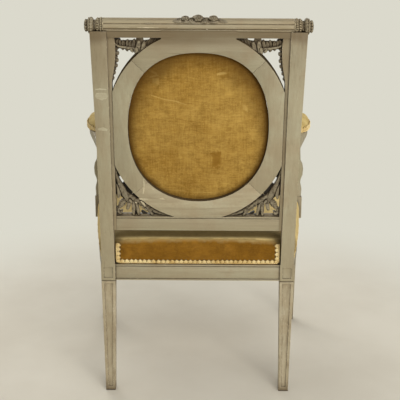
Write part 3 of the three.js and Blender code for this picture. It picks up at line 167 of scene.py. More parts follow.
def ramp(tree, value, low, high, start=0.0, end=1.0):
    """Spreads a value that runs from low to high over start to end, with soft ends."""
    return node(tree, "MapRange", {"interpolation_type": "SMOOTHSTEP"}, Value=value, From_Min=low,
                From_Max=high, To_Min=start, To_Max=end).outputs["Result"]


def blended(tree, mask, under, over):
    """Two colours mixed by a mask."""
    return node(tree, "Mix", {"data_type": "RGBA"}, i0=mask, i6=under, i7=over).outputs[2]


def layered(tree, colour, layers):
    """A colour with others laid over it in turn. A layer is a mask, its strength and a colour."""
    for mask, share, over in layers:
        colour = blended(tree, times(tree, mask, share), colour, over)
    return colour


def cloudiness(tree, vector, scale, detail=3.0, roughness=0.55):
    """Soft clouds, as one value from 0 to 1."""
    return node(tree, "TexNoise", {"noise_dimensions": "3D"}, Vector=vector, Scale=scale,
                Detail=detail, Roughness=roughness).outputs["Fac"]


def clouds(tree, vector, scale, detail, roughness, low, high):
    """Clouds with their edges drawn tighter, between a low and a high level."""
    return ramp(tree, cloudiness(tree, vector, scale, detail, roughness), low, high)


def parts_of(tree, vector):
    """The X, Y and Z of a place or a direction."""
    return node(tree, "SeparateXYZ", Vector=vector).outputs


def vectors(tree, operation, first, second):
    """One step of arithmetic on places."""
    return node(tree, "VectorMath", {"operation": operation}, i0=first, i1=second).outputs[0]


def shut_in(tree, samples, reach):
    """How far a place is closed in by what stands within a reach of it, from none to all."""
    sky = node(tree, "AmbientOcclusion", {"samples": samples}, Distance=reach)
    return less(tree, 1.0, sky.outputs["AO"], clamp=True)


def effect(name, inputs, outputs):
    """An empty node group with named sockets, and what comes into it and goes out."""
    group = bpy.data.node_groups.new(name, "ShaderNodeTree")
    for label, kind, value in inputs:
        socket = group.interface.new_socket(label, in_out="INPUT", socket_type="NodeSocket" + kind)
        if value is not None:
            socket.default_value = value
    for label in outputs:
        group.interface.new_socket(label, in_out="OUTPUT", socket_type="NodeSocketFloat")
    into = group.nodes.new("NodeGroupInput").outputs
    return group, into, group.nodes.new("NodeGroupOutput").inputs


def use(tree, group, **wires):
    """Places an effect in a material, with its own values."""
    made = tree.nodes.new("ShaderNodeGroup")
    made.node_tree = group
    for label, source in wires.items():
        feed(tree, made.inputs[label], source)
    return made.outputs


def blank_finish(name):
    """A new material: itself, its tree, its coat, and the places on the object."""
    finish = bpy.data.materials.new(name)
    finish.use_nodes = True
    tree = finish.node_tree
    return finish, tree, tree.nodes["Principled BSDF"], node(tree, "TexCoord").outputs["Object"]


def coated(tree, coat, colour, dullness, height, strength, distance):
    """Wires a colour, a dullness and a bumpy height into the coat."""
    tree.links.new(colour, coat.inputs["Base Color"])
    feed(tree, coat.inputs["Roughness"], dullness)
    if height is not None:
        bump = node(tree, "Bump", Strength=strength, Distance=distance, Height=height)
        tree.links.new(bump.outputs[0], coat.inputs["Normal"])


# %% [markdown]
# ## Light and floor
# The room has soft light from above and from the camera's side. Large area lamps keep the
# shadows under the rail and around the oval soft. The floor is plain and pale. A wall could
# stand behind the chair, but then the chair would be lit wrongly from the front, so the floor
# fades with its distance into the wall's colour instead, and keeps the chair's shadow near it.

# %% Colours as the eye names them
def tint(red, green, blue):
    """A colour from its 0 to 255 screen values, as the linear colour that a shader needs."""
    def linear(value):
        share = value / 255
        return share / 12.92 if share <= 0.04045 else ((share + 0.055) / 1.055) ** 2.4
    return (linear(red), linear(green), linear(blue), 1.0)


WALL_TINT = tint(219, 217, 204)
FLOOR_TINT = tint(222, 218, 206)
FLOOR_SHADE = tint(212, 207, 194)
LIGHT_TINT = tint(255, 252, 246)
ROOM_LIGHT = 0.4

# %% World
def direct_rays(tree):
    """One for a ray that sees the background itself, in a gloss or through glass, else zero."""
    path = node(tree, "LightPath")
    seen = sums(tree, "MAXIMUM", path.outputs["Is Camera Ray"], path.outputs["Is Glossy Ray"])
    return sums(tree, "MAXIMUM", seen, path.outputs["Is Transmission Ray"])


scene.view_settings.view_transform = "Standard"
world = bpy.data.worlds.new("pale_room")
scene.world = world
world.use_nodes = True
tree = world.node_tree
tree.nodes.clear()
lighting = node(tree, "Background", Color=LIGHT_TINT, Strength=ROOM_LIGHT)
shown = node(tree, "Background", Color=WALL_TINT, Strength=1.0)
chosen = node(tree, "MixShader", i0=direct_rays(tree), i1=lighting.outputs[0], i2=shown.outputs[0])
node(tree, "OutputWorld", Surface=chosen.outputs[0])
print("room light:", ROOM_LIGHT)

# %% Lamps
LAMPS = {
    "key_behind_camera": {"place": (-1.1, 3.6, 2.4), "size": 2.0, "power": 92},
    "ceiling": {"place": (0.2, 0.4, 3.0), "size": 2.6, "power": 8},
    "room_in_front": {"place": (1.0, -2.8, 1.9), "size": 2.4, "power": 52},
    "side_fill": {"place": (-2.2, 2.4, 0.35), "size": 1.6, "power": 30},
}
AIM_POINT = Vector((0, 0, 0.55))

for name, lamp in LAMPS.items():
    light = bpy.data.lights.new(name, "AREA")
    light.size = lamp["size"]
    light.energy = lamp["power"]
    light.color = LIGHT_TINT[:3]
    place = Vector(lamp["place"])
    holder = bpy.data.objects.new(name, light)
    scene.collection.objects.link(holder)
    aim(holder, place, (AIM_POINT - place).normalized())
print("lamps:", len(LAMPS))

# %% Floor
FLOOR_REACH = 30.0
FADE_START, FADE_END = 0.62, 1.35
floor_mesh = bpy.data.meshes.new("floor")
corners = [(x * FLOOR_REACH, y * FLOOR_REACH, 0) for x, y in ((-1, -1), (1, -1), (1, 1), (-1, 1))]
floor_mesh.from_pydata(corners, [], [(0, 1, 2, 3)])
floor = bpy.data.objects.new("floor", floor_mesh)
scene.collection.objects.link(floor)
floor_paint, tree, coat, place = blank_finish("pale_floor")
mottle = clouds(tree, place, 2.4, 5.0, 0.55, 0.3, 0.7)
coated(tree, coat, blended(tree, mottle, FLOOR_TINT, FLOOR_SHADE), 0.9, None, 0, 0)
away = node(tree, "VectorMath", {"operation": "LENGTH"}, i0=place).outputs["Value"]
far = times(tree, ramp(tree, away, FADE_START, FADE_END), direct_rays(tree))
wall_glow = node(tree, "Emission", Color=WALL_TINT, Strength=1.0)
faded = node(tree, "MixShader", i0=far, i1=coat.outputs[0], i2=wall_glow.outputs[0])
tree.links.new(faded.outputs[0], tree.nodes["Material Output"].inputs["Surface"])
floor_mesh.materials.append(floor_paint)
print("floor fades from", FADE_START, "to", FADE_END, "m away")

# %% [markdown]
# ## Finishes: the effects they share
# An old painted chair is never one colour. Brush streaks run along the grain, dark glaze sits in
# the hollows, and the edges are rubbed down to pale ground. Cloth has a weave, a nap that lies
# this way and that, and worn places. Each effect is a node group, used by several finishes.

# %% Brush streaks along the grain
PLACE = ("Place", "Vector", None)
STRETCH = ("Stretch", "Vector", (1, 1, 1))
streaks, into, out = effect("brush_streaks", [PLACE, STRETCH], ["Streaks", "Broad"])
scaled = vectors(streaks, "MULTIPLY", into["Place"], into["Stretch"])
for label, scale, detail in (("Streaks", 6.0, 4.0), ("Broad", 1.4, 2.0)):
    streaks.links.new(clouds(streaks, scaled, scale, detail, 0.55, 0.3, 0.7), out[label])

# %% Glaze in the hollows and rubbed edges
patina, into, out = effect(
    "patina",
    [PLACE, ("Hollow", "Float", 0.008), ("Corner", "Float", 0.04), ("Edge", "Float", 0.002),
     ("Wear", "Float", 0.5)],
    ["Glaze", "DustAndShade", "Rubbed"],
)
patchy = cloudiness(patina, into["Place"], 38.0, 4.0)
shade = shut_in(patina, 8, into["Hollow"])
glaze = ramp(patina, plus(patina, shade, times(patina, patchy, 0.25)), 0.22, 0.75)
patina.links.new(glaze, out["Glaze"])
# Dust and painted shade: darkened wherever other surfaces stand within the corner reach, such as
# just under the rail.
dust_and_shade_amount = times(patina, shut_in(patina, 8, into["Corner"]), plus(patina, patchy, 0.5))
patina.links.new(ramp(patina, dust_and_shade_amount, 0.04, 0.55), out["DustAndShade"])
rounded = node(patina, "Bevel", {"samples": 4}, Radius=into["Edge"]).outputs[0]
true_face = node(patina, "NewGeometry").outputs["Normal"]
facing = node(patina, "VectorMath", {"operation": "DOT_PRODUCT"}, i0=rounded,
              i1=true_face).outputs["Value"]
bend = ramp(patina, less(patina, 1.0, facing), 0.02, 0.2)
specks = clouds(patina, into["Place"], 160.0, 5.0, 0.7, 0.5, 0.62)
open_edge = times(patina, bend, less(patina, 1.0, glaze))
patina.links.new(times(patina, times(patina, open_edge, specks), into["Wear"]), out["Rubbed"])

# %% Knocks, scuffs and stains
scuffs, into, out = effect("scuffs", [PLACE, STRETCH, ("Often", "Float", 0.5)], ["Dark", "Pale"])
bent = vectors(scuffs, "MULTIPLY", into["Place"], into["Stretch"])
smears = vectors(scuffs, "MULTIPLY", bent, (0.35, 0.35, 0.35))
rare = less(scuffs, 0.78, times(scuffs, into["Often"], 0.2))
for label, scale, detail, roughness, low, high in (
    ("Dark", 14.0, 5.0, 0.65, -0.12, 0.08), ("Pale", 30.0, 6.0, 0.75, -0.01, 0.03),
):
    marks = less(scuffs, cloudiness(scuffs, smears, scale, detail, roughness), rare)
    scuffs.links.new(ramp(scuffs, marks, low, high), out[label])

# %% Threads that cross
weave, into, out = effect(
    "weave", [PLACE, ("Count", "Float", 900.0), ("Slack", "Float", 0.4)], ["Height", "Gaps"])
drift = node(weave, "TexNoise", {"noise_dimensions": "3D"}, Vector=into["Place"], Scale=60.0,
             Detail=2.0).outputs["Color"]
wander = node(weave, "VectorMath", {"operation": "SCALE"}, i0=drift,
              Scale=times(weave, into["Slack"], 0.01)).outputs[0]
nudged = parts_of(weave, vectors(weave, "ADD", into["Place"], wander))
warp, weft = (sums(weave, "SINE", times(weave, run, into["Count"]))
              for run in (nudged["X"], plus(weave, nudged["Y"], nudged["Z"])))
crossing = times(weave, warp, weft)
weave.links.new(ramp(weave, crossing, -1.0, 1.0), out["Height"])
weave.links.new(ramp(weave, crossing, -0.2, -0.9), out["Gaps"])
print("effects:", [g.name for g in bpy.data.node_groups])

# %% [markdown]
# ## Painted wood
# Two coats of grey-beige over pale ground. The streaks must follow the grain, so there is one
# finish for upright pieces, one for pieces that run across, and one for carving, where the
# glaze is heavy and grain doesn't show.

# %% Paint
PAINT_MID = tint(165, 156, 129)
PAINT_COOL = tint(168, 163, 138)
PAINT_WARM = tint(158, 143, 116)
PAINT_SHADE = tint(140, 128, 102)
# A brown for dust, also used for the painted shade under the rail and on faces that look down.
DUST_AND_SHADE_TINT = tint(98, 82, 57)
GLAZE_TINT = tint(54, 43, 28)
GROUND_TINT = tint(216, 204, 176)
SCUFF_TINT = tint(112, 97, 72)
# Heights over which the wood is darkened towards the top rail, a painted shadow of the rail.
RAIL_SHADE_LEVELS = (0.76, 0.878)
SHADOW_LEVELS = (0.893, 0.916)


def painted(name, stretch, hollow=0.007, glaze_share=0.85, dust_and_shade_share=0.75, wear=0.9,
            tints=(PAINT_MID, PAINT_COOL, PAINT_WARM), shade=PAINT_SHADE, rail_shadow=0.0,
            mottle=0.0, underside_shade=0.0, often=0.5, shine=0.35):
    """Aged paint. Stretch is how closely the streaks lie along each direction. Rail shadow is how
    strongly the wood just under the top rail is darkened, a painted shadow of the rail, mottle how
    blotched a carving is, underside shade how strongly the faces that look down are darkened as
    painted shade, and often how many knocks there are."""
    finish, tree, coat, place = blank_finish(name)
    coat.inputs["Specular IOR Level"].default_value = shine
    grain = use(tree, streaks, Place=place, Stretch=stretch)
    age = use(tree, patina, Place=place, Hollow=hollow, Corner=0.045, Edge=0.0022, Wear=wear)
    marks = use(tree, scuffs, Place=place, Stretch=stretch, Often=often)
    cool = clouds(tree, place, 6.0, 3.0, 0.55, 0.4, 0.65)
    layers = [
        (clouds(tree, place, 15.0, 4.0, 0.6, 0.45, 0.68), 0.7, tints[2]),
        (grain["Broad"], 0.45, shade), (grain["Streaks"], 0.3, shade),
        (clouds(tree, place, 260.0, 3.0, 0.7, 0.35, 0.7), 0.2, shade),
        (marks["Dark"], 0.45, SCUFF_TINT), (marks["Pale"], 0.55, GROUND_TINT),
    ]
    if mottle:
        layers += [(clouds(tree, place, 120.0, 4.0, 0.7, 0.46, 0.6), mottle, GLAZE_TINT),
                   (clouds(tree, place, 170.0, 4.0, 0.75, 0.56, 0.66), mottle, tints[1])]
    # Painted shadow: the wood is darkened by height just under the top rail, where the rail's shade
    # falls.
    if rail_shadow:
        wavy = plus(tree, parts_of(tree, place)["Z"], times(tree, grain["Broad"], 0.008))
        under_rail = plus(tree, ramp(tree, wavy, *RAIL_SHADE_LEVELS, 0.0, 0.3),
                          ramp(tree, wavy, *SHADOW_LEVELS, 0.0, 0.5))
        layers.append((under_rail, rail_shadow, DUST_AND_SHADE_TINT))
    # Painted shade: faces that look down are darkened.
    if underside_shade:
        downward = parts_of(tree, node(tree, "NewGeometry").outputs["Normal"])["Z"]
        layers.append((ramp(tree, downward, -0.25, -0.75), underside_shade, DUST_AND_SHADE_TINT))
    layers += [(age["DustAndShade"], dust_and_shade_share, DUST_AND_SHADE_TINT), (age["Glaze"], glaze_share, GLAZE_TINT),
               (age["Rubbed"], 1.0, GROUND_TINT)]
    colour = layered(tree, blended(tree, cool, tints[0], tints[1]), layers)
    chips = times(tree, plus(tree, age["Rubbed"], marks["Pale"]), 1.5)
    coated(tree, coat, colour, ramp(tree, grain["Streaks"], 0.0, 1.0, 0.48, 0.68),
           less(tree, grain["Streaks"], chips), 0.4, 0.0006)
    return finish


# The upright, cross, tie and recess finishes carry the painted shadow under the top rail; the
# rail's own finish has painted shade on its underside.
UPRIGHT_TINTS = (tint(159, 150, 123), tint(162, 157, 132), tint(152, 138, 111))
PAINT_UPRIGHT = painted("paint_upright", (26, 26, 1.3), tints=UPRIGHT_TINTS, rail_shadow=1.0)
PAINT_ACROSS = painted("paint_across", (1.3, 26, 26), rail_shadow=0.8)
# Painted light: the ring's bottom segment is painted paler, for the light that falls on it below
# the rail's shade.
RING_FOOT_LIT_TINTS = (tint(175, 164, 136), tint(178, 171, 145), tint(168, 152, 123))
PAINT_RING_FOOT_LIT = painted("paint_on_the_ring_foot_lit", (1.3, 26, 26), tints=RING_FOOT_LIT_TINTS)
PAINT_DEEP = painted("paint_front_to_back", (26, 1.3, 26))
RAIL_TINTS = (tint(159, 148, 121), tint(164, 156, 132), tint(149, 133, 106))
PAINT_RAIL = painted("paint_on_the_rail", (1.3, 26, 26), dust_and_shade_share=0.9, tints=RAIL_TINTS,
                     underside_shade=0.7)
PAINT_TIE = painted("paint_across_under_the_rail", (1.3, 26, 26), wear=0.0, rail_shadow=1.0)
LEG_TINTS = (tint(180, 168, 142), tint(190, 181, 157), tint(164, 147, 118))
PAINT_LEG = painted("paint_on_the_legs", (22, 22, 5), glaze_share=0.97, wear=2.2, often=0.85,
                    tints=LEG_TINTS)
CREST_TINTS = (tint(116, 107, 89), tint(132, 125, 107), tint(98, 86, 66))
PAINT_CREST = painted("paint_on_the_crest", (14, 14, 14), hollow=0.005, glaze_share=0.97,
                      dust_and_shade_share=0.7, wear=1.0, tints=CREST_TINTS, mottle=0.5)
# Near black for the ring's walls: dust, and painted shade in the openings and round the cloth.
WALL_SHADE_TINTS = (tint(54, 46, 34), tint(62, 55, 43), tint(44, 36, 26))
PAINT_WALL_SHADE = painted("paint_on_the_ring_walls_dust_and_shade", (14, 14, 14), wear=0.2, tints=WALL_SHADE_TINTS,
                     shade=tint(44, 37, 26), often=0.0, shine=0.0)
CARVED_TINTS = (tint(134, 126, 106), tint(144, 138, 119), tint(124, 112, 90))
PAINT_CARVED = painted("paint_carved", (14, 14, 14), hollow=0.006, glaze_share=0.97, dust_and_shade_share=0.6,
                       wear=1.0, tints=CARVED_TINTS, mottle=0.55)
# Dark paint for the curled lobes: old dust, and painted shade under the curls.
SOOT_AND_SHADE_TINTS = (tint(92, 86, 74), tint(104, 100, 88), tint(78, 68, 52))
PAINT_SOOT_AND_SHADE = painted("paint_in_hollows_soot_and_shade", (14, 14, 14), hollow=0.01, glaze_share=0.97,
                       dust_and_shade_share=0.7, wear=0.35, tints=SOOT_AND_SHADE_TINTS, mottle=0.6)
# Near black: a painted shadow for the deep cuts and the pit, not a colour of the wood.
SHADOW_BLACK_TINTS = (tint(20, 17, 12), tint(28, 25, 19), tint(16, 12, 8))
PAINT_SHADOW_BLACK = painted("paint_as_shadow_in_deep_cuts", (14, 14, 14), hollow=0.01, glaze_share=0.2,
                          dust_and_shade_share=0.05, wear=0.05, tints=SHADOW_BLACK_TINTS, shade=tint(22, 18, 12))
# Painted shade: the recessed strip along each post and the carved flange beside it are painted a
# darker brown.
STRIP_SHADE_TINTS = (tint(146, 133, 106), tint(150, 141, 116), tint(136, 119, 92))
PAINT_STRIP_SHADE = painted("paint_in_the_recess_as_shade", (26, 26, 1.3), glaze_share=0.6, tints=STRIP_SHADE_TINTS,
                      rail_shadow=0.8)

# %% Bare wood inside
def bare_wood(name):
    """Beech that was never painted: pale brown, with fine darker lines along the grain."""
    finish, tree, coat, place = blank_finish(name)
    grain = use(tree, streaks, Place=place, Stretch=(2, 60, 60))
    colour = blended(tree, grain["Streaks"], tint(178, 140, 96), tint(142, 104, 66))
    colour = layered(tree, colour, [(grain["Broad"], 0.4, tint(120, 88, 58))])
    coated(tree, coat, colour, ramp(tree, grain["Streaks"], 0.0, 1.0, 0.6, 0.8), grain["Streaks"],
           0.4, 0.0004)
    return finish


BARE_WOOD = bare_wood("bare_beech")

# %% [markdown]
# ## Cloth
# The cover is an old gold velvet. Its nap has been pushed about, so it has light and dark
# patches at every scale, with the ground weave showing where it is worn. The braid is a cream
# and gold cord. The inner cloths are jute and canvas, which are nothing but weave.

# %% Velvet
SHEEN_TINT = tint(240, 214, 150)
# Heights over which the rolled top edge of the seat is painted pale, a painted highlight.
LIT_EDGE_LEVELS = (0.397, 0.412)


def velvet(name, base, light, dark, rim, sheen, shade_reach, shade_start=0.06, faded=None,
           oval=None, shaded_depths=None, worn_share=0.55, blots=(), brushed=()):
    """A napped cloth with patches, crushed places, a faint ground weave and a soft sheen. Wherever
    other surfaces stand within the shade reach it is darkened to the rim colour, a painted shade.
    All but its rear face may be painted a paler second colour, which stands both for fading and
    for the light those faces catch, and the rolled top edge gets a pale painted highlight. It may
    carry a painted shadow round the rim of an oval, weaker towards the oval's foot, and painted
    shade between four distances from the front, where it lies in the shade of the back. A blot is
    a stain or the pale painted highlight on a wrinkle: its place, half sizes, slope, colour and
    share. Brushed says how closely strokes of the nap lie along each direction, and their share."""
    finish, tree, coat, place = blank_finish(name)
    for socket, value in (("Sheen Weight", sheen), ("Sheen Roughness", 0.4),
                          ("Sheen Tint", SHEEN_TINT), ("Specular IOR Level", 0.12)):
        coat.inputs[socket].default_value = value
    spot = parts_of(tree, place)
    patches = clouds(tree, place, 9.0, 4.0, 0.6, 0.36, 0.66)
    blotches = clouds(tree, place, 40.0, 5.0, 0.7, 0.4, 0.66)
    crushed = vectors(tree, "MULTIPLY", place, (0.4, 0.7, 1.2))
    creases = clouds(tree, crushed, 130.0, 4.0, 0.7, 0.45, 0.62)
    nap = cloudiness(tree, place, 420.0, 3.0, 0.7)
    pressed = vectors(tree, "MULTIPLY", place, (0.9, 1.0, 1.6))
    flecks = clouds(tree, pressed, 110.0, 5.0, 0.75, 0.54, 0.66)
    threads = use(tree, weave, Place=place, Count=2300.0, Slack=0.5)
    # How closed in each place is, for the painted shade near other surfaces.
    closed_in = plus(tree, shut_in(tree, 12, shade_reach), times(tree, blotches, 0.08))
    dull = ramp(tree, closed_in, shade_start, 0.5)
    layers = [
        (blotches, 0.5, dark), (creases, 0.3, dark), (ramp(tree, nap, 0.45, 0.75), 0.6, light),
        (flecks, worn_share, light), (threads["Gaps"], 0.3, dark),
    ]
    for stretch, share in brushed:
        strokes = use(tree, streaks, Place=place, Stretch=stretch)["Streaks"]
        layers += [(ramp(tree, strokes, 0.5, 0.8), share, light),
                   (ramp(tree, strokes, 0.45, 0.2), share, dark)]
    # Fading and painted light: faces that don't look to the rear, and the rolled top edge, are
    # painted paler; the rear face keeps the base colour.
    if faded:
        turn = parts_of(tree, node(tree, "NewGeometry").outputs["Normal"])["Y"]
        away = ramp(tree, plus(tree, turn, times(tree, blotches, 0.12)), 0.9, 0.45)
        arched = times(tree, times(tree, spot["X"], spot["X"]), 0.16)
        rolled = plus(tree, spot["Z"], times(tree, blotches, 0.004))
        upper = ramp(tree, plus(tree, rolled, arched), *LIT_EDGE_LEVELS, 0.0, 0.6)
        dimmed = [0.78 * part for part in faded[:3]] + [1.0]
        faded_and_lit_tint = blended(tree, blended(tree, creases, patches, blotches), faded, dimmed)
        layers.append((sums(tree, "MAXIMUM", away, upper), 0.86, faded_and_lit_tint))
    for x, z, half_wide, half_tall, slope, shade, share in blots:
        off_x = less(tree, spot["X"], x)
        off_z = less(tree, less(tree, spot["Z"], z), times(tree, off_x, slope))
        reach = sums(tree, "MAXIMUM", *(
            sums(tree, "DIVIDE", sums(tree, "ABSOLUTE", off), half)
            for off, half in ((off_x, half_wide), (off_z, half_tall))))
        ragged = less(tree, reach, times(tree, blotches, 0.5))
        layers.append((ramp(tree, ragged, 0.95, 0.55), share, shade))
    # Painted shade: the top of the seat is darkened between two depths, where it lies in the shade
    # of the back.
    if shaded_depths:
        shade_behind_back = times(tree, ramp(tree, spot["Y"], shaded_depths[0], shaded_depths[1]),
                       ramp(tree, spot["Y"], shaded_depths[2], shaded_depths[3], 1.0, 0.0))
        layers.append((shade_behind_back, 0.85, rim))
    # Painted shadow: the cloth is darkened near the rim of an oval, where the ring's edge shades
    # it, and less towards its foot, which is lit.
    if oval:
        middle, shares = oval
        off = vectors(tree, "MULTIPLY", vectors(tree, "SUBTRACT", place, middle), shares)
        reach = node(tree, "VectorMath", {"operation": "LENGTH"}, i0=off).outputs["Value"]
        rim_shadow = ramp(tree, plus(tree, reach, times(tree, patches, 0.1)), 0.8, 1.12)
        lit_foot = ramp(tree, spot["Z"], 0.47, 0.57, 0.3, 1.0)
        dull = times(tree, dull, lit_foot)
        layers.append((times(tree, rim_shadow, lit_foot), 0.8, rim))
    # Painted shade: darkened to the rim colour where other surfaces stand close.
    layers.append((dull, 0.85, rim))
    colour = layered(tree, blended(tree, patches, base, light), layers)
    height = plus(tree, nap, times(tree, threads["Height"], 0.5))
    height = less(tree, height, times(tree, creases, 0.8))
    coated(tree, coat, colour, ramp(tree, nap, 0.2, 0.8, 0.8, 0.98), height, 0.6, 0.0009)
    return finish


RIM_SHADE_TINT = tint(84, 56, 14)
# Stains, and pale painted highlights where wrinkles would catch the light.
WRINKLE_HIGHLIGHT_TINT, STAIN_TINT = tint(204, 172, 100), tint(124, 86, 20)
BACK_BLOTS = (
    (-0.0430, 0.6185, 0.0125, 0.0200, -0.3, STAIN_TINT, 0.7),
    (0.0570, 0.6380, 0.0110, 0.0110, 0.0, STAIN_TINT, 0.2),
    (0.1040, 0.8290, 0.0110, 0.0030, 0.5, WRINKLE_HIGHLIGHT_TINT, 0.5),
    (0.1020, 0.8190, 0.0090, 0.0022, -0.3, WRINKLE_HIGHLIGHT_TINT, 0.5),
    (0.0980, 0.8080, 0.0070, 0.0060, 0.2, WRINKLE_HIGHLIGHT_TINT, 0.35),
    (0.0880, 0.7680, 0.0180, 0.0016, 0.30, WRINKLE_HIGHLIGHT_TINT, 0.4),
    (0.0600, 0.7620, 0.0140, 0.0018, 0.18, WRINKLE_HIGHLIGHT_TINT, 0.3),
    (0.0380, 0.7560, 0.0120, 0.0013, 0.30, WRINKLE_HIGHLIGHT_TINT, 0.3),
    (-0.0510, 0.8260, 0.0110, 0.0030, -0.2, WRINKLE_HIGHLIGHT_TINT, 0.6),
    (-0.0600, 0.8190, 0.0120, 0.0040, -0.3, STAIN_TINT, 0.4),
    (-0.1080, 0.7450, 0.0050, 0.0060, 0.5, WRINKLE_HIGHLIGHT_TINT, 0.35),
    (0.0100, 0.5650, 0.0030, 0.0180, 0.0, STAIN_TINT, 0.3),
    (0.0600, 0.5390, 0.0300, 0.0010, 0.10, WRINKLE_HIGHLIGHT_TINT, 0.25),
    (-0.0200, 0.5330, 0.0300, 0.0010, 0.02, WRINKLE_HIGHLIGHT_TINT, 0.25),
)
# The fourth colour of each velvet is the colour of its painted shade.
VELVET_BACK = velvet("gold_velvet_back", tint(153, 117, 49), tint(183, 149, 76), tint(116, 82, 25),
                     RIM_SHADE_TINT, sheen=0.2, shade_reach=0.042, oval=((0, 0, 0.662), (5.95, 0, 5.1)),
                     blots=BACK_BLOTS, brushed=(((52, 20, 4), 0.16), ((8, 20, 66), 0.14)))
VELVET_SEAT = velvet("gold_velvet_seat", tint(120, 82, 17), tint(148, 106, 36), tint(96, 64, 13),
                     tint(82, 70, 43), sheen=0.5, shade_reach=0.042, shade_start=0.16,
                     faded=tint(222, 200, 140), shaded_depths=(0.09, 0.15, 0.180, 0.192),
                     worn_share=0.3)
VELVET_ARMS = velvet("gold_velvet_front", tint(200, 176, 112), tint(216, 196, 138),
                     tint(166, 136, 72), RIM_SHADE_TINT, sheen=0.35, shade_reach=0.02, worn_share=0.3)

# %% Braid, jute and canvas
def thread(name, light, dark, count, gap_share=0.7, crease=None):
    """A plainly woven or twisted cloth, in two shades of one colour, with painted shade in its
    creases.
    """
    finish, tree, coat, place = blank_finish(name)
    threads = use(tree, weave, Place=place, Count=count, Slack=0.3)
    uneven = clouds(tree, place, 30.0, 4.0, 0.55, 0.3, 0.7)
    layers = [(threads["Gaps"], gap_share, dark)]
    # Painted shade in the creases, where other surfaces stand within a few millimetres.
    if crease:
        layers.append((ramp(tree, shut_in(tree, 8, 0.004), 0.16, 0.56), 1.0, crease))
    colour = layered(tree, blended(tree, uneven, light, dark), layers)
    coated(tree, coat, colour, ramp(tree, uneven, 0.0, 1.0, 0.78, 0.95), threads["Height"], 0.6,
           0.0006)
    return finish


BRAID = thread("cream_gold_braid", tint(242, 222, 168), tint(212, 180, 114), 3200.0, 0.5,
               crease=tint(120, 84, 30))
JUTE = thread("jute_webbing", tint(168, 142, 104), tint(112, 88, 58), 1500.0)
CANVAS = thread("unbleached_canvas", tint(206, 190, 152), tint(158, 138, 100), 2400.0)
print("finishes:", len(bpy.data.materials))

# %% [markdown]
# ## Making meshes in code
# Nearly every turned or carved piece is a row of rings with a skin over them. A lathe piece has
# rings round an axis, a cord has rings along a path, and a leaf has rows of points over its
# width. So a few small functions make all of them.

# %% Rings, skins and pieces
POLE = 0.96
SIDES = ((1, "left"), (-1, "right"))


def skin(rings, capped=True):
    """Points and faces over a row of rings that have the same number of points each."""
    count = len(rings[0])
    faces = []
    for row in range(len(rings) - 1):
        for step in range(count):
            first, second = row * count + step, row * count + (step + 1) % count
            faces.append((first, second, second + count, first + count))
    if capped:
        last = (len(rings) - 1) * count
        faces.append(tuple(reversed(range(count))))
        faces.append(tuple(range(last, last + count)))
    return np.vstack(rings), faces


def gather(parts):
    """Several points-and-faces pairs as one."""
    points, faces, start = [], [], 0
    for part_points, part_faces in parts:
        points.append(part_points)
        faces += [tuple(start + index for index in face) for face in part_faces]
        start += len(part_points)
    return np.vstack(points), faces


def smooth_by_angle(mesh, degrees):
    """Smooth shading, with the edges that turn more than this kept sharp."""
    shape = bmesh.new()
    shape.from_mesh(mesh)
    bmesh.ops.recalc_face_normals(shape, faces=shape.faces)
    for face in shape.faces:
        face.smooth = True
    for edge in shape.edges:
        turn = edge.calc_face_angle(0) if len(edge.link_faces) == 2 else 0
        edge.smooth = turn < math.radians(degrees)
    shape.to_mesh(mesh)
    shape.free()


def piece_from(mesh, name, finish, stands_for=()):
    """A mesh as a piece of the chair: it rides on the frame and has a finish."""
    mesh.materials.clear()
    mesh.materials.append(finish)
    piece = bpy.data.objects.new(name, mesh)
    scene.collection.objects.link(piece)
    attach(piece, "root")
    if stands_for:
        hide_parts(*stands_for)
    return piece


def build(name, shape, finish, stands_for=(), sharp=50):
    """A piece from points and faces."""
    mesh = bpy.data.meshes.new(name)
    mesh.from_pydata([tuple(point) for point in shape[0]], [], shape[1])
    smooth_by_angle(mesh, sharp)
    return piece_from(mesh, name, finish, stands_for)


def unit(vector):
    return vector / np.linalg.norm(vector)


def turns_round(count):
    return np.linspace(0, 2 * math.pi, count, endpoint=False)


def ring_round(centre, first, second, radii, second_radii=None):
    """Points round a centre, in the plane of two directions, with a radius for each."""
    turns = turns_round(len(radii))
    other = radii if second_radii is None else second_radii
    return centre + np.outer(radii * np.cos(turns), first) + np.outer(other * np.sin(turns), second)


def spoke_at(turn, first=REAR_DIRECTION, second=RISE_DIRECTION):
    """A direction at a turn from the first toward the second."""
    return math.cos(turn) * first + math.sin(turn) * second


def turned(centre, axis, first, profile, around, cutting=None):
    """A lathe piece: a profile of distance along the axis and radius, in millimetres.
    Cutting gives a share of the radius by turn and row, for flutes and beads."""
    second = np.cross(axis, first)
    turns = turns_round(around)
    rings = []
    for row, (distance, radius) in enumerate(profile):
        shares = cutting(turns, row) if cutting else np.ones(around)
        rings.append(ring_round(centre + MM * distance * axis, first, second, MM * radius * shares))
    return skin(rings)


def pearl(centre, radius, squeeze=(1, 1, 1), axes=(ACROSS, REAR_DIRECTION, RISE_DIRECTION),
          rows=6, around=10):
    """A small round bead, which may be flattened or stretched along each axis."""
    rings = []
    for lift in np.linspace(-POLE, POLE, rows):
        width = np.full(around, radius * math.sqrt(1 - lift * lift))
        rings.append(ring_round(centre + radius * lift * squeeze[1] * axes[1], axes[0], axes[2],
                                width * squeeze[0], width * squeeze[2]))
    return skin(rings)


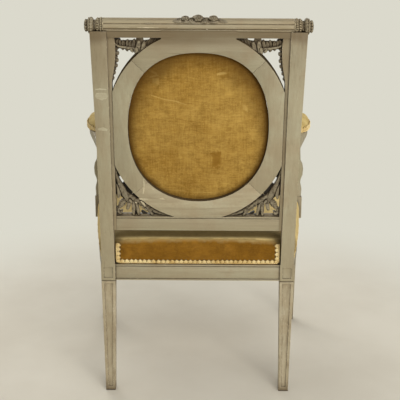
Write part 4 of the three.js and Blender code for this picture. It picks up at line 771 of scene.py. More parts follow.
def tube(path, radii, sides=8, closed=False):
    """A round bar along a path of points."""
    path = np.asarray(path, float)
    radii = np.broadcast_to(radii, len(path))
    ahead = np.gradient(path, axis=0)
    if closed:
        ahead = np.roll(path, -1, 0) - np.roll(path, 1, 0)
    ahead /= np.linalg.norm(ahead, axis=1)[:, None]
    side = unit(np.cross(ahead[0], UP if abs(ahead[0] @ UP) < 0.9 else ACROSS))
    rings = []
    for point, direction, radius in zip(path, ahead, radii):
        side = unit(side - (side @ direction) * direction)
        rings.append(ring_round(point, side, np.cross(direction, side), np.full(sides, radius)))
    points, faces = skin(rings, capped=not closed)
    if closed:
        last = (len(rings) - 1) * sides
        shift = int(np.argmin(np.linalg.norm(rings[0] - rings[-1][0], axis=1)))
        for step in range(sides):
            ahead_step = (step + 1) % sides
            faces.append((last + step, last + ahead_step, (ahead_step + shift) % sides,
                          (step + shift) % sides))
    return points, faces


def surface_of(*pieces):
    """Several pieces as one searchable surface."""
    points, faces = [], []
    for piece in pieces:
        start = len(points)
        points += [vertex.co for vertex in piece.data.vertices]
        faces += [[start + index for index in polygon.vertices] for polygon in piece.data.polygons]
    return BVHTree.FromPolygons(points, faces)


print("mesh helpers ready")

# %% [markdown]
# ## Joinery: easing the edges
# The CAD gives each post, rail and ring segment as an exact solid with knife edges. A joiner
# breaks every edge, and two centuries of dusting round it further. Each wooden node is copied,
# its edges are bevelled by about a millimetre, and the copy stands for the node. The ring's
# joints are tight, so its edges are eased less, and its inner and outer walls are painted near
# black, for dust and as painted shade. The recessed strip along each post's inner edge is
# painted a darker brown, a painted shade for the recess, so its faces get a finish of their own.

# %% Eased wood
EASE = 1.1 * MM
RING_EASE = 0.3 * MM
STRIP_INNER, STRIP_OUTER, STRIP_FOOT = 196, 204, 92
WALL_TURN = 0.5
LEG_TOP = 0.27
WELD = 0.02 * MM
FLAT_ANGLE = math.radians(1)
SHARP_ANGLE = math.radians(28)
SMOOTH_BELOW = 40


def eased(node_name, finish, ease):
    """A copy of a wooden node with its sharp edges rounded."""
    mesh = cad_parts[node_name].data.copy()
    shape = bmesh.new()
    shape.from_mesh(mesh)
    bmesh.ops.remove_doubles(shape, verts=shape.verts, dist=WELD)
    bmesh.ops.dissolve_limit(shape, angle_limit=FLAT_ANGLE, verts=shape.verts, edges=shape.edges)
    sharp = [edge for edge in shape.edges
             if len(edge.link_faces) == 2 and edge.calc_face_angle(0) > SHARP_ANGLE]
    bmesh.ops.bevel(shape, geom=sharp, offset=ease, segments=2, profile=0.5,
                    affect="EDGES", clamp_overlap=True, loop_slide=True)
    shape.to_mesh(mesh)
    shape.free()
    smooth_by_angle(mesh, SMOOTH_BELOW)
    return piece_from(mesh, node_name + "_wood", finish, [node_name])


def both(name):
    return [name + "_left", name + "_right"]


UPRIGHT_NODES = both("rear_post") + both("front_leg") + both("arm_support") + both("medallion")
RING_NODES = both("medallion") + ["medallion_top", "medallion_bottom"]
ACROSS_NODES = ["rear_seat_rail", "front_seat_rail", "lower_back_rail"]
DEEP_NODES = both("side_seat_rail") + both("arm")
RAW_NODES = both("rear_corner_block") + both("front_corner_block") \
    + [f"medallion_tongue_{number}" for number in (1, 2, 3, 4)]

wood = {}
for nodes, finish, slot in (
    (UPRIGHT_NODES, PAINT_UPRIGHT, "painted_wood"),
    (ACROSS_NODES, PAINT_ACROSS, "painted_wood"),
    (["medallion_top"], PAINT_TIE, "painted_wood"),
    (["medallion_bottom"], PAINT_RING_FOOT_LIT, "painted_wood"),
    (DEEP_NODES, PAINT_DEEP, "painted_wood"),
    (RAW_NODES, BARE_WOOD, "raw_wood"),
):
    for node_name in nodes:
        tight = node_name.startswith("medallion")
        wood[node_name] = eased(node_name, finish, RING_EASE if tight else EASE)
# Faces of the ring that don't face the rear get the near-black wall paint, for dust and as painted
# shade.
for node_name in RING_NODES:
    mesh = wood[node_name].data
    mesh.materials.append(PAINT_WALL_SHADE)
    for face in mesh.polygons:
        face.material_index = int(abs(np.array(face.normal) @ REAR_DIRECTION) < WALL_TURN)
# The strip's faces take the darker painted shade of the recess; the feet take the leg paint.
for node_name in both("rear_post"):
    mesh = wood[node_name].data
    for finish in (PAINT_STRIP_SHADE, PAINT_LEG):
        mesh.materials.append(finish)
    for face in mesh.polygons:
        beside = STRIP_INNER - 1 < abs(face.center.x) / MM < STRIP_OUTER
        in_strip = beside and face.center.z > SEAT_TOP + STRIP_FOOT * MM
        face.material_index = 2 if face.center.z < LEG_TOP else int(in_strip)
print("eased pieces:", len(wood), "faces:", sum(len(w.data.polygons) for w in wood.values()))

# %% [markdown]
# ## Top rail
# The rail is a round bar planed into eight wide reeds with a narrow groove between each. A
# collar at each end is turned with two rows of beads. The reeds are drawn as a cross-section
# and run straight; the beads are separate pearls set into the collar.

# %% Top rail
RAIL_LOW, RAIL_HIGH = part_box("top_rail")
RAIL_CENTRE = np.array([0, (RAIL_LOW.y + RAIL_HIGH.y) / 2, (RAIL_LOW.z + RAIL_HIGH.z) / 2])
RAIL_RADIUS = 17.4
REEDS = 8
REED_DEPTH = 2.0
REED_ROUNDNESS = 2.6
GROOVE_TURN = math.radians(30)
GROOVE_SHARE, GROOVE_DEEPER = 0.93, 1.35
COLLAR_INNER = 211


def reeded(turns):
    """The share of the rail's radius at each turn round it."""
    pitch = 2 * math.pi / REEDS
    off_centre = np.abs(((turns - GROOVE_TURN) / pitch) % 1 * 2 - 1)
    cut = np.where(off_centre > GROOVE_SHARE, GROOVE_DEEPER, 1)
    return 1 - REED_DEPTH / RAIL_RADIUS * off_centre ** REED_ROUNDNESS * cut


rail_profile = [(x, RAIL_RADIUS) for x in np.linspace(-COLLAR_INNER, COLLAR_INNER, 24)]
rail_parts = [turned(RAIL_CENTRE, ACROSS, REAR_DIRECTION, rail_profile, 160,
                     lambda turns, row: reeded(turns))]
COLLAR_PROFILE = [(COLLAR_INNER + out, radius) for out, radius in (
    (-1.5, 15.2), (0, 16.4), (1.2, 17.6), (2.4, 17.4), (3.4, 15.4), (7.4, 15.4), (8.4, 17.2),
    (9.6, 17.4), (10.6, 15.0), (15.0, 14.2), (15.8, 15.2), (16.6, 15.0), (17.8, 13.6))]
BEAD_ROWS = (
    {"along": COLLAR_INNER + 5.4, "radius": 2.3, "ring": 16.4, "count": 26},
    {"along": COLLAR_INNER + 12.9, "radius": 2.9, "ring": 14.8, "count": 17},
)
for side in (-1, 1):
    outward = side * ACROSS
    rail_parts.append(turned(RAIL_CENTRE, outward, REAR_DIRECTION, COLLAR_PROFILE, 64))
    for row in BEAD_ROWS:
        for turn in turns_round(row["count"]):
            place = RAIL_CENTRE + MM * (row["along"] * outward + row["ring"] * spoke_at(turn))
            rail_parts.append(pearl(place, MM * row["radius"]))
top_rail = build("top_rail_reeded", gather(rail_parts), PAINT_RAIL, ["top_rail"], 40)
print("top rail faces:", len(top_rail.data.polygons))

# %% [markdown]
# ## Finials
# Each end of the rail has a knob like an opening bud: a narrow neck, a broad fluted cup, and a
# button cut into petals. All of it is one lathe profile, with the flutes cut by making the
# radius rise and fall round the turn.

# %% Finials
KNOB_PROFILE = [
    (229.3, 12.0), (230.4, 13.2), (231.4, 13.4), (232.4, 12.2), (233.2, 13.6), (234.4, 16.2),
    (236.0, 18.0), (238.0, 18.9), (239.6, 19.0), (240.8, 18.2), (241.6, 17.0), (242.4, 17.6),
    (243.4, 18.0), (244.4, 17.4), (245.4, 15.4), (246.4, 13.4), (247.2, 12.8), (248.0, 13.4),
    (249.2, 14.2), (250.6, 14.2), (252.0, 13.0), (253.2, 10.6), (254.0, 7.4), (254.2, 4.4),
    (253.4, 2.4), (253.8, 1.0), (254.0, 0.3),
]
KNOB_CUTS = ((range(5, 11), 7, 0.10, 1.4), (range(11, 15), 13, 0.06, 1.0),
             (range(16, 24), 5.5, 0.20, 1.3))


def knob_cutting(turns, row):
    """Flutes in the cup, beads on its rim and petals in the button."""
    for rows, count, depth, roundness in KNOB_CUTS:
        if row in rows:
            return 1 - depth * (1 - np.abs(np.cos(count * turns))) ** roundness
    return np.ones_like(turns)


for side, name in SIDES:
    knob = turned(RAIL_CENTRE, side * ACROSS, REAR_DIRECTION, KNOB_PROFILE, 176, knob_cutting)
    build("finial_" + name + "_bud", knob, PAINT_CARVED, ["finial_" + name], 60)
print("finials reach", KNOB_PROFILE[-1][0], "mm from the middle")

# %% [markdown]
# ## Carved boards
# Each corner carving is sawn from a board. The carver draws leaves on it, saws out the ground
# between them, and models every leaf, with a hollow along its spine and valleys between its
# lobes. The mesh is made in the same way. For each place on a fine grid, a leaf says how far
# the place lies inside its outline, and how high its carved face stands there. The highest leaf
# wins, the one below it is cut back a little, and the grid is trimmed along the outline. Single
# leaves could be lofted instead, but they look like beads, because nothing joins them.

# %% A leaf drawn on a board
SPINE_STEPS = 60
LOBE_LEAN = 0.6
FLUTE_PLACE, FLUTE_REACH = 0.56, 0.14


def along(places, shares):
    """Places spread evenly along a line through some points, softened at the corners."""
    places = np.asarray(places, float)
    steps = np.r_[0, np.cumsum(np.linalg.norm(np.diff(places, axis=0), axis=1))]
    dense = np.linspace(0, steps[-1], SPINE_STEPS)
    line = np.stack([np.interp(dense, steps, places[:, axis]) for axis in (0, 1)], axis=1)
    for _ in range(5):
        line[1:-1] = (line[:-2] + 2 * line[1:-1] + line[2:]) / 4
    return np.stack([np.interp(shares, np.linspace(0, 1, SPINE_STEPS), line[:, axis])
                     for axis in (0, 1)], 1)


def leaf(spine, left, right=None, lobes=1, level=0.0, dome=3.2, hollow=0.8, valley=1.8,
         notch=0.3, flute=0.0):
    """A leaf with its spine and its half widths, in millimetres. It comes back as a function
    that tells, for places on the board, how far inside they are and how high they stand."""
    line = along(spine, np.linspace(0, 1, SPINE_STEPS))
    headings = np.gradient(line, axis=0)
    headings /= np.linalg.norm(headings, axis=1)[:, None]
    length = np.linalg.norm(np.diff(line, axis=0), axis=1).sum()
    widths = [np.asarray(side, float) for side in (left, left if right is None else right)]

    def shape(across, up):
        places = np.stack([across.ravel(), up.ravel()], 1)
        gaps = places[:, None, :] - line[None]
        nearest = (gaps ** 2).sum(2).argmin(1)
        gap, heading = gaps[np.arange(len(places)), nearest], headings[nearest]
        ahead = (gap * heading).sum(1)
        sideways = gap[:, 1] * heading[:, 0] - gap[:, 0] * heading[:, 1]
        beyond = ((nearest == 0) & (ahead < 0)) | ((nearest == SPINE_STEPS - 1) & (ahead > 0))
        off = np.where(beyond, np.hypot(sideways, ahead), np.abs(sideways))
        share = np.clip(nearest / (SPINE_STEPS - 1) + ahead / length, 0, 1)
        reach = [np.interp(share, np.linspace(0, 1, len(side)), side) for side in widths]
        width = np.where(sideways > 0, reach[0], reach[1])
        tooth = np.ones_like(share)
        if lobes > 1:
            swept = share - LOBE_LEAN * np.minimum(off / width, 1) / lobes
            tooth = np.abs(np.sin(math.pi * lobes * swept)) ** 0.55
        edge = width * (1 - notch * (1 - tooth))
        out = np.minimum(off / edge, 1)
        height = level + dome * np.sqrt(1 - out ** 2) \
            - hollow * np.exp(-(off / (0.16 * width + 0.3)) ** 2) \
            - valley * (1 - tooth) * np.minimum(2 * out, 1) \
            - flute * np.exp(-((off / width - FLUTE_PLACE) / FLUTE_REACH) ** 2)
        return (edge - off).reshape(across.shape), height.reshape(across.shape)

    return shape


# %% A board sawn and carved
GRAIN = 0.9
UNDERCUT = 2.2
UNDERCUT_REACH = 1.3
FRONT_SHARE = 0.6


def carved_heights(leaves, low, high):
    """The grid of a board: its places, how far inside the leaves they are, and their heights."""
    columns, rises = (np.arange(low[axis], high[axis], GRAIN) for axis in (0, 1))
    across, up = np.meshgrid(columns, rises, indexing="ij")
    inside, height = np.full(across.shape, -99.0), np.zeros(across.shape)
    for shape in leaves:
        reach, lift = shape(across, up)
        beside = (reach <= 0) & (inside > 0)
        height -= beside * UNDERCUT * np.exp(-(reach / UNDERCUT_REACH) ** 2)
        wins = np.where(inside > 0, (reach > 0) & (lift > height), reach > inside)
        height = np.where(wins, lift, height)
        inside = np.maximum(inside, reach)
    return across, up, inside, height


def carved_board(leaves, low, high, depth, thick, side):
    """A pierced board with its leaves carved on both faces. The depth is that of level nought."""
    across, up, inside, height = carved_heights(leaves, low, high)
    solid = inside > 0
    grid = np.stack([across, up, height], 2)
    index, places, faces, rim = {}, [], [], []

    def put(key, place):
        if key not in index:
            index[key] = len(places)
            places.append(place)
        return index[key]

    for i, j in zip(*np.nonzero(solid[:-1, :-1] | solid[1:, :-1] | solid[1:, 1:] | solid[:-1, 1:])):
        ring = [(i, j), (i + 1, j), (i + 1, j + 1), (i, j + 1)]
        loop, leaving, entering = [], [], []
        for first, second in zip(ring, ring[1:] + ring[:1]):
            if solid[first]:
                loop.append(put(first, grid[first]))
            if solid[first] != solid[second]:
                share = inside[first] / (inside[first] - inside[second])
                cut = grid[first] + share * (grid[second] - grid[first])
                loop.append(put(tuple(sorted((first, second))), cut))
                (leaving if solid[first] else entering).append((len(loop), loop[-1]))
        faces.append(tuple(loop))
        for order, start in leaving:
            after = [mark for mark in entering if mark[0] > order] or entering
            rim.append((start, after[0][1]))
    count = len(places)
    rear = [on_back(side * x, depth - lift, rise) for x, rise, lift in places]
    front = [on_back(side * x, depth + thick + FRONT_SHARE * lift, rise)
             for x, rise, lift in places]
    walls = [(a, b, count + b, count + a) for a, b in rim]
    backs = [tuple(count + corner for corner in reversed(face)) for face in faces]
    return np.array(rear + front), faces + backs + walls


print("boards are cut on a grid of", GRAIN, "mm")

# %% [markdown]
# ## Leaves in the upper corners
# A half leaf of acanthus lies over the shoulder of the oval, in a boat-shaped opening under the
# rail. Its smooth spine is rubbed pale, and its lobes curl up and are painted nearly black, for
# old dust and as painted shade under the curls. A flange with curled edges runs down the post,
# level with the recessed strip and in its darker painted shade. The flange, the pale parts, the
# dark lobes and a near-black pit, a painted shadow, are boards one behind the other, because
# their finishes differ so much.

# %% Upper corner leaves
SHOULDER = [(191.8, 563.5), (186.4, 556.4), (177.7, 551.5), (162.1, 549), (146.6, 546),
            (134, 543), (124.3, 545.8), (115.3, 550.5), (101.8, 556.1), (87.2, 563.3)]
MASS = [(187, 559.5), (176, 556.5), (160, 555.5), (146, 554.5), (133, 554), (122, 555),
        (112, 558.5), (100, 563), (88, 567.5)]
CURLED_LOBES = (
    ((184, 555), (181, 565), 4.6), ((174, 553.5), (176, 563.4), 4.0),
    ((168, 551.5), (168.5, 562), 4.4), ((160.5, 551.4), (158.8, 564.2), 3.8),
    ((153, 550), (152.6, 561.4), 4.6), ((146, 549), (144, 565), 4.2),
    ((117.5, 550), (114.4, 563), 4.2), ((111, 553), (106.5, 568), 4.4),
    ((103.5, 556), (99.6, 571), 4.0), ((97, 559), (92.6, 571.6), 3.8),
    ((91, 561), (86.4, 571), 3.2),
)
HANGING_LOBES = (
    ((181.2, 551.5), (179.5, 547.4), 3.0), ((171.2, 548.5), (169.5, 544.4), 3.2),
    ((162.4, 546.5), (159.6, 541.8), 3.4),
)
RIM = [(186.4, 549.5), (185.4, 538), (186, 524), (187.6, 512), (190.6, 498), (193.6, 484),
       (196, 470), (197.6, 458)]
FLANGE_CURLS = (
    ((188, 547.6), (183.4, 545.4), 3.6), ((187, 536.4), (182.4, 534.5), 4.4),
    ((188, 527), (184.4, 525.4), 2.8), ((188.6, 520), (184, 518), 4.2),
    ((190, 507.6), (186, 505.4), 4.0), ((192, 499), (188.6, 497), 2.6),
    ((194, 491), (190.6, 488.6), 3.6), ((196, 478), (193.4, 475.8), 3.0),
)
UPPER_LOW, UPPER_HIGH = (80, 448), (204, 590)
FLUSH = 5.3

# The lobes' board is painted dark, for dust and as painted shade.
lobes_in_soot_and_shade = [
    leaf(SHOULDER, (4, 6, 6, 6, 6, 8, 6, 5, 4, 2), level=-3, dome=1, hollow=0),
    leaf(MASS, (5, 7.5, 9, 10, 11, 10, 7.5, 6, 4.5), level=-2.2, dome=0.8, hollow=0),
    leaf([(133, 553), (131.6, 566), (131, 574)], (8, 9, 8.5, 6.5), level=-1.6, dome=1.0, hollow=0),
    leaf(RIM, (2.6, 3, 3, 3, 2.8, 2.4, 2, 1.2), level=-0.6, dome=1.2, hollow=0),
]
lobes_in_soot_and_shade += [leaf([root, tip], (0.8 * width, width, width, 0.6 * width), level=-1.2, dome=2.0,
                hollow=1.4) for root, tip, width in CURLED_LOBES]
lobes_in_soot_and_shade += [leaf([root, tip], (width, width, 0.8 * width), level=-1.5, dome=2.0, hollow=0)
           for root, tip, width in HANGING_LOBES]
lobes_in_soot_and_shade += [leaf([root, tip], (0.8 * width, width, width), level=0, dome=1.8, hollow=0)
           for root, tip, width in FLANGE_CURLS]
pale = [
    leaf(SHOULDER, (1.6, 2.0, 2.4, 2.6, 3.2, 4.2, 3.0, 2.0, 1.6, 1.2), level=0.5, dome=2, hollow=0),
    leaf([(126, 545), (123.5, 552), (121.4, 560)], (3.5, 4.6, 5, 3.4), level=-0.5, dome=2.2),
    leaf([(137, 541), (135.4, 550), (133.4, 562)], (5, 4.8, 5.2, 3.8), level=0.8, dome=2.4,
         hollow=0.8),
    leaf([(151.2, 545), (147.5, 540.4)], (3, 3.6, 2.8), level=-0.5, dome=2, hollow=0),
    leaf([(139, 546), (141, 538)], (4, 4.5, 3), level=0, dome=2, hollow=0),
]
flange = [
    leaf([(197, 580), (194.5, 566), (194.5, 543), (195.6, 513), (198, 484), (200, 455)],
         (7, 9, 9, 8, 5.5, 3.5), (7, 8.6, 8.6, 7, 4, 2.4), level=FLUSH, dome=0.3, hollow=0),
]
# The pit is a near-black board, a painted shadow at the end of the opening under the rail.
pit = [leaf([(196, 567), (187, 566), (178, 565)], (6, 6.5, 4), level=-5, dome=0.3, hollow=0)]
for side, name in SIDES:
    for part, leaves, depth, thick, finish in (
        ("upper_flange_", flange, 9.5, 6, PAINT_STRIP_SHADE),
        ("upper_leaf_", pale, 9.5, 6, PAINT_CARVED),
        ("upper_lobes_", lobes_in_soot_and_shade, 12, 7, PAINT_SOOT_AND_SHADE), ("upper_pit_", pit, 14, 4, PAINT_SHADOW_BLACK),
    ):
        build(part + name, carved_board(leaves, UPPER_LOW, UPPER_HIGH, depth, thick, side),
              finish, ["upper_corner_carving_" + name], 65)
fillet = [leaf([(-203, 581), (0, 581), (203, 581)], (7.2, 7.2, 7.2), level=0, dome=0.3, hollow=0)]
build("fillet_under_rail", carved_board(fillet, (-204, 570), (204, 592), 2.2, 8, 1), PAINT_TIE)
print("leaves and lobes in each upper corner:", len(lobes_in_soot_and_shade) + len(pale))

# %% [markdown]
# ## Sprays in the lower corners
# Below the oval a spray of long leaves fans out of one point. One climbs the post, one follows
# the oval, and the rest drop to the rail. The wood between them is cut right through in a few
# places, where the seat's gold shows, and elsewhere only cut deep, which is a second board behind
# the leaves, painted near black as the shadow in those cuts.

# %% Lower corner sprays
LOWER_LOW, LOWER_HIGH = (60, 124), (202, 276)
spray = [
    leaf([(197, 131.5), (165, 130.5), (127, 130.5), (72, 129.5)], (2.8, 2.4, 2.4, 1.2), level=-1.5,
         dome=1.5, hollow=0),
    leaf([(193.5, 213), (190.4, 202), (188.6, 190), (190, 178)], (1.2, 3, 5, 5.2, 2.6), level=0,
         dome=3, hollow=1),
    leaf([(194, 150), (191, 140), (186, 136), (183, 141)], (2.5, 3.4, 3.6, 2.6), level=0, dome=3,
         hollow=0),
    leaf([(121, 151.5), (105.7, 142), (91, 136), (70, 131.2)], (3.2, 3.4, 2.6, 1.0), lobes=5,
         level=0, dome=2.4, valley=2.6),
    leaf([(144, 166), (131, 157), (118, 146), (110, 134)], (3.4, 6.5, 8, 6.5, 3), lobes=5, level=0,
         dome=3.2, hollow=1.6, valley=3.2, notch=0.4),
    leaf([(152, 171), (146, 153), (142.6, 133)], (3, 3.8, 3.6, 2.6), level=0.5, dome=3, flute=1.2),
    leaf([(170, 174), (179.7, 164), (187, 154), (191, 147)], (4, 7.5, 8.2, 5.5, 2.5), lobes=6,
         level=0.5, dome=3, hollow=1.8, valley=3.4, notch=0.36),
    leaf([(157, 172), (154.6, 156), (155, 133)], (3.4, 4.4, 4.2, 2.8), level=1, dome=3, hollow=1,
         flute=1.2),
    leaf([(164.6, 176), (165.8, 161), (168.4, 150)], (3.6, 4.6, 5, 3.8), level=1.6, dome=3,
         hollow=0.7, flute=1.4),
    leaf([(170, 188), (158, 178.5), (144, 170), (130, 159.5), (119.5, 150.5)],
         (3.8, 4.8, 5.2, 4.2, 1.8), lobes=6, level=1.6, dome=2.8, hollow=1.6, valley=3.2,
         notch=0.36),
    leaf([(196.6, 268), (195.9, 255), (193.4, 237), (188.6, 221.5), (180.6, 203.2), (172, 182),
          (167, 171)], (1.3, 2.0, 2.8, 3.6, 5.8, 6.6, 4.2), level=2, dome=2.8, hollow=1.8,
         flute=1.6),
    leaf([(163, 172), (158.5, 167)], (3.4, 3.8, 2.8), level=3, dome=2.6, hollow=0),
]
# Deep cuts behind the leaves, filled by a near-black board as their painted shadow.
CUT_DEEP = (
    ((197, 262), (193, 243), 3.2), ((193, 243), (188.5, 234), 4.2), ((175, 211), (168, 196), 5.0),
    ((168, 196), (161, 189.5), 5.0), ((153, 182), (144, 174), 4.6), ((195, 240), (194.6, 234), 3.0),
    ((194.4, 225), (193, 212), 3.0), ((194.4, 206), (193.4, 186), 3.4),
    ((183.6, 196), (181, 180), 3.6), ((152, 160), (136, 160), 3.4),
    ((143, 171), (128, 158), 4.4), ((128, 158), (104, 143), 4.2), ((113, 134), (96, 130), 3.2),
    ((104, 141), (68, 128.5), 3.6), ((150, 142), (150, 131), 3.0), ((194, 146), (190, 138), 3.4),
    ((176, 176), (160, 166), 5.0), ((134, 138), (124, 131), 3.0),
)
cut_deep = [leaf([start, end], (width, width, width), level=0, dome=0.6, hollow=0)
            for start, end, width in CUT_DEEP]
for side, name in SIDES:
    for part, leaves, depth, thick, finish in (
        ("lower_spray_", spray, 11, 8, PAINT_CARVED),
        ("lower_ground_", cut_deep, 17, 4, PAINT_SHADOW_BLACK),
    ):
        build(part + name, carved_board(leaves, LOWER_LOW, LOWER_HIGH, depth, thick, side),
              finish, ["lower_corner_carving_" + name], 65)
print("leaves in each lower spray:", len(spray))

# %% [markdown]
# ## Old repairs and chips
# The paint has been mended by hand. A smear of fresher paint lies on one post, and the lower
# part of the ring is chipped down to its pale ground in a few places. Each is a film of paint a
# fraction of a millimetre thick, drawn with the same leaf shapes and trimmed the same way.

# %% Smears and chips of paint
FILM = 0.15
SMEAR_TINTS = (tint(180, 174, 147), tint(190, 185, 160), tint(172, 163, 136))
PAINT_SMEAR = painted("paint_fresher", (1.3, 26, 26), glaze_share=0.2, dust_and_shade_share=0.2,
                      tints=SMEAR_TINTS)
CHIP_TINTS = (tint(206, 196, 166), tint(222, 214, 190), tint(188, 172, 136))
PAINT_CHIP = painted("paint_chipped_to_the_ground", (20, 20, 20), glaze_share=0.1, dust_and_shade_share=0.1,
                     tints=CHIP_TINTS)
POST_SMEARS = (
    ([(232, 453.4), (222, 454.6), (209, 453.4)], (1.6, 2.2, 1.2)),
    ([(227, 438), (220, 437), (214, 438)], (7.5, 11, 8)),
    ([(228, 357), (220, 358), (212, 356)], (3, 5, 3)),
)
RING_CHIPS = (
    ([(129.6, 230), (127.4, 219), (128.6, 204), (130.4, 192)], (1.6, 2.4, 2.6, 1.2)),
    ([(139, 178.6), (129, 177.4), (119, 178.2)], (1.8, 3.4, 1.6)),
    ([(135.6, 172), (130, 166), (126.4, 160)], (1.6, 3.0, 1.4)),
    ([(90.5, 179.9), (84, 179), (78.6, 177.8)], (1.2, 2.4, 1.0)),
    ([(109, 206), (104, 203)], (1.2, 2.0, 1.0)), ([(150, 170), (146, 167.5)], (1.0, 1.8, 1.0)),
)


def films(name, drawn, depth, finish):
    """Films of paint on a flat face, which lies at a depth of the back."""
    shapes = [leaf(line, widths, lobes=5, level=0, dome=0, hollow=0, valley=0, notch=0.5)
              for line, widths in drawn]
    places = np.vstack([line for line, _ in drawn])
    low, high = places.min(0) - 14, places.max(0) + 14
    return build(name, carved_board(shapes, low, high, depth - FILM, 2 * FILM, 1), finish)


def worn_line(start, end, turn, radius):
    """A pale rubbed line along a reed of the rail."""
    path = [RAIL_CENTRE + MM * ((start + (end - start) * share) * ACROSS
            + (RAIL_RADIUS + 0.12 * math.sin(11 * share)) * spoke_at(math.radians(turn)))
            for share in np.linspace(0, 1, 14)]
    return tube(path, MM * radius * np.sin(np.linspace(0.3, math.pi - 0.1, 14)), 6)


WORN_LINES = ((136, 80, 1, 1.1), (178, 150, 3, 0.7), (72, 58, 0, 0.7), (-16, -20, -8, 1.0),
              (-60, -100, 2, 0.6), (20, -12, 30, 0.5), (-150, -182, 2, 0.7), (120, 96, 33, 0.5))
build("worn_lines_on_the_rail", gather([worn_line(*line) for line in WORN_LINES]), PAINT_CHIP)
films("smears_on_the_post", POST_SMEARS, 0, PAINT_SMEAR)
films("chips_on_the_ring", RING_CHIPS, 2, PAINT_CHIP)
print("smears and chips:", len(POST_SMEARS) + len(RING_CHIPS))

# %% [markdown]
# ## Crest
# A row of full-blown flowers is set on the middle of the rail, with leaves lying along it. A
# flower is a low dome with small cupped petals set over it in a spiral, and every petal is a
# flattened bead that leans outward. One cast dome for each would be simpler, but it reads as a
# knob, because the light never breaks on it.

# %% Crest
SPIRAL_TURN = math.radians(137.5)


def on_rail(x, turn, out):
    """A place on the round rail, by its turn in degrees from the rear face up over the top."""
    spoke = spoke_at(math.radians(turn))
    return RAIL_CENTRE + MM * (x * ACROSS + (RAIL_RADIUS + out) * spoke), spoke


def bloom(centre, facing, radius, petals):
    """A flower of many small cupped petals, set in a spiral over a low dome."""
    first = unit(np.cross(facing, ACROSS + 0.01))
    second = np.cross(facing, first)
    parts = [pearl(centre, 0.72 * radius, (1.2, 0.5, 1.2), (first, facing, second))]
    for step in range(petals):
        share = math.sqrt((step + 0.5) / petals)
        spoke = spoke_at(step * SPIRAL_TURN, first, second)
        face = unit(facing + 0.9 * share * spoke)
        broad = np.cross(facing, spoke)
        lift = 0.42 * math.sqrt(1.1 - share * share) + 0.06 * math.sin(5 * step)
        place = centre + radius * (0.92 * share * spoke + lift * facing)
        parts.append(pearl(place, radius * (0.2 + 0.08 * share), (1, 0.55, 0.8),
                           (broad, face, np.cross(face, broad)), 5, 8))
    return parts


def rail_leaf(x, turn, length, width, slant):
    """A leaf that lies on the rail, pointing along it and bent over its round."""
    parts = []
    for step in np.linspace(0, 1, 9):
        place, spoke = on_rail(x + length * step, turn + slant * step, 0)
        swell = math.sin(math.pi * (0.12 + 0.86 * step)) ** 0.8
        rib = 1 + 0.35 * np.cos(2 * turns_round(12)) ** 2
        parts.append(ring_round(place, np.cross(ACROSS, spoke), spoke,
                                np.full(12, MM * 0.5 * width * swell), MM * 2.0 * swell * rib))
    return skin(parts)


BLOOMS = ((2, 74, 1.5, 11.5, 30), (30, 72, 0.5, 9.5, 22), (43, 62, 0, 6.0, 12),
          (-32, 72, 1.0, 10.5, 26), (-45, 60, 0, 6.0, 12), (16, 62, 0, 7.0, 14),
          (-14, 62, 0, 7.5, 14))
RAIL_LEAVES = (
    (-44, 56, -20, 9, -10), (-22, 44, -26, 8, 6), (44, 58, 14, 8, -8), (38, 46, 20, 8, 4),
    (18, 46, 22, 7, -2), (-4, 44, -18, 7, 2), (6, 44, 16, 7, 0), (22, 82, -12, 8, 0),
    (-24, 86, 12, 8, 0), (10, 88, 10, 9, 0), (-8, 88, -10, 9, 0),
)

crest_parts = []
for x, turn, out_of_rail, radius, petals in BLOOMS:
    centre, facing = on_rail(x, turn, out_of_rail)
    crest_parts += bloom(centre, facing, MM * radius, petals)
crest_parts += [rail_leaf(*drawn) for drawn in RAIL_LEAVES]
build("crest_flowers", gather(crest_parts), PAINT_CREST, ["crest_carving"], 70)
print("crest parts:", len(crest_parts))

# %% [markdown]
# ## Rosettes
# The front legs have a turned and carved rosette on each outer face of their square blocks.
# Eight petals stand round a button, inside a raised rim.

# %% Rosettes
ROSETTE_PETALS = 8
ROSETTE_PROFILE = ((0, 0.98), (0.25, 1.0), (0.5, 0.99), (0.62, 0.93), (0.5, 0.86), (0.3, 0.82),
                   (0.3, 0.4), (0.3, 0.05))


def rosette(node_name, facing):
    """A rosette that fills the node's box and faces along a direction."""
    low, high = (np.array(corner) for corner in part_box(node_name))
    size = np.sort(high - low)
    thick, radius = size[0], size[2] / 2
    middle = (low + high) / 2
    seat = middle - facing * thick / 2
    first, second = UP, np.cross(facing, UP)
    rings = [ring_round(seat + facing * thick * rise, first, second, np.full(48, radius * share))
             for rise, share in ROSETTE_PROFILE]
    parts = [skin(rings), pearl(seat + facing * thick * 0.62, radius * 0.2,
                                (1, 1, 1), (first, facing, second))]
    for turn in turns_round(ROSETTE_PETALS):
        spoke = spoke_at(turn, first, second)
        parts.append(pearl(seat + facing * thick * 0.4 + spoke * radius * 0.5, radius * 0.3,
                           (1, 0.4, 0.62), (spoke, facing, np.cross(facing, spoke)), 8, 14))
    return gather(parts)


for side, name in SIDES:
    for part, facing in (("front_rosette_", FORWARD), ("side_rosette_", side * ACROSS)):
        build(part + "carved_" + name, rosette(part + name, facing), PAINT_CARVED, [part + name],
              60)
print("rosettes done")

# %% [markdown]
# ## Straps and canvas
# Under the seat and inside the oval, straps of jute are stretched over and under each other and
# tacked to the wood. Each strap is a long thin strip whose height follows a wave, so that it
# rises over one crossing and dips under the next.

# %% Straps
STRAP_THICK = 1.0
STRAP_STEPS = 60
STRAP_EDGE = ((-1, -1), (-0.5, -1), (0, -1), (0.5, -1), (1, -1), (1, 1), (0.5, 1), (0, 1),
              (-0.5, 1), (-1, 1))


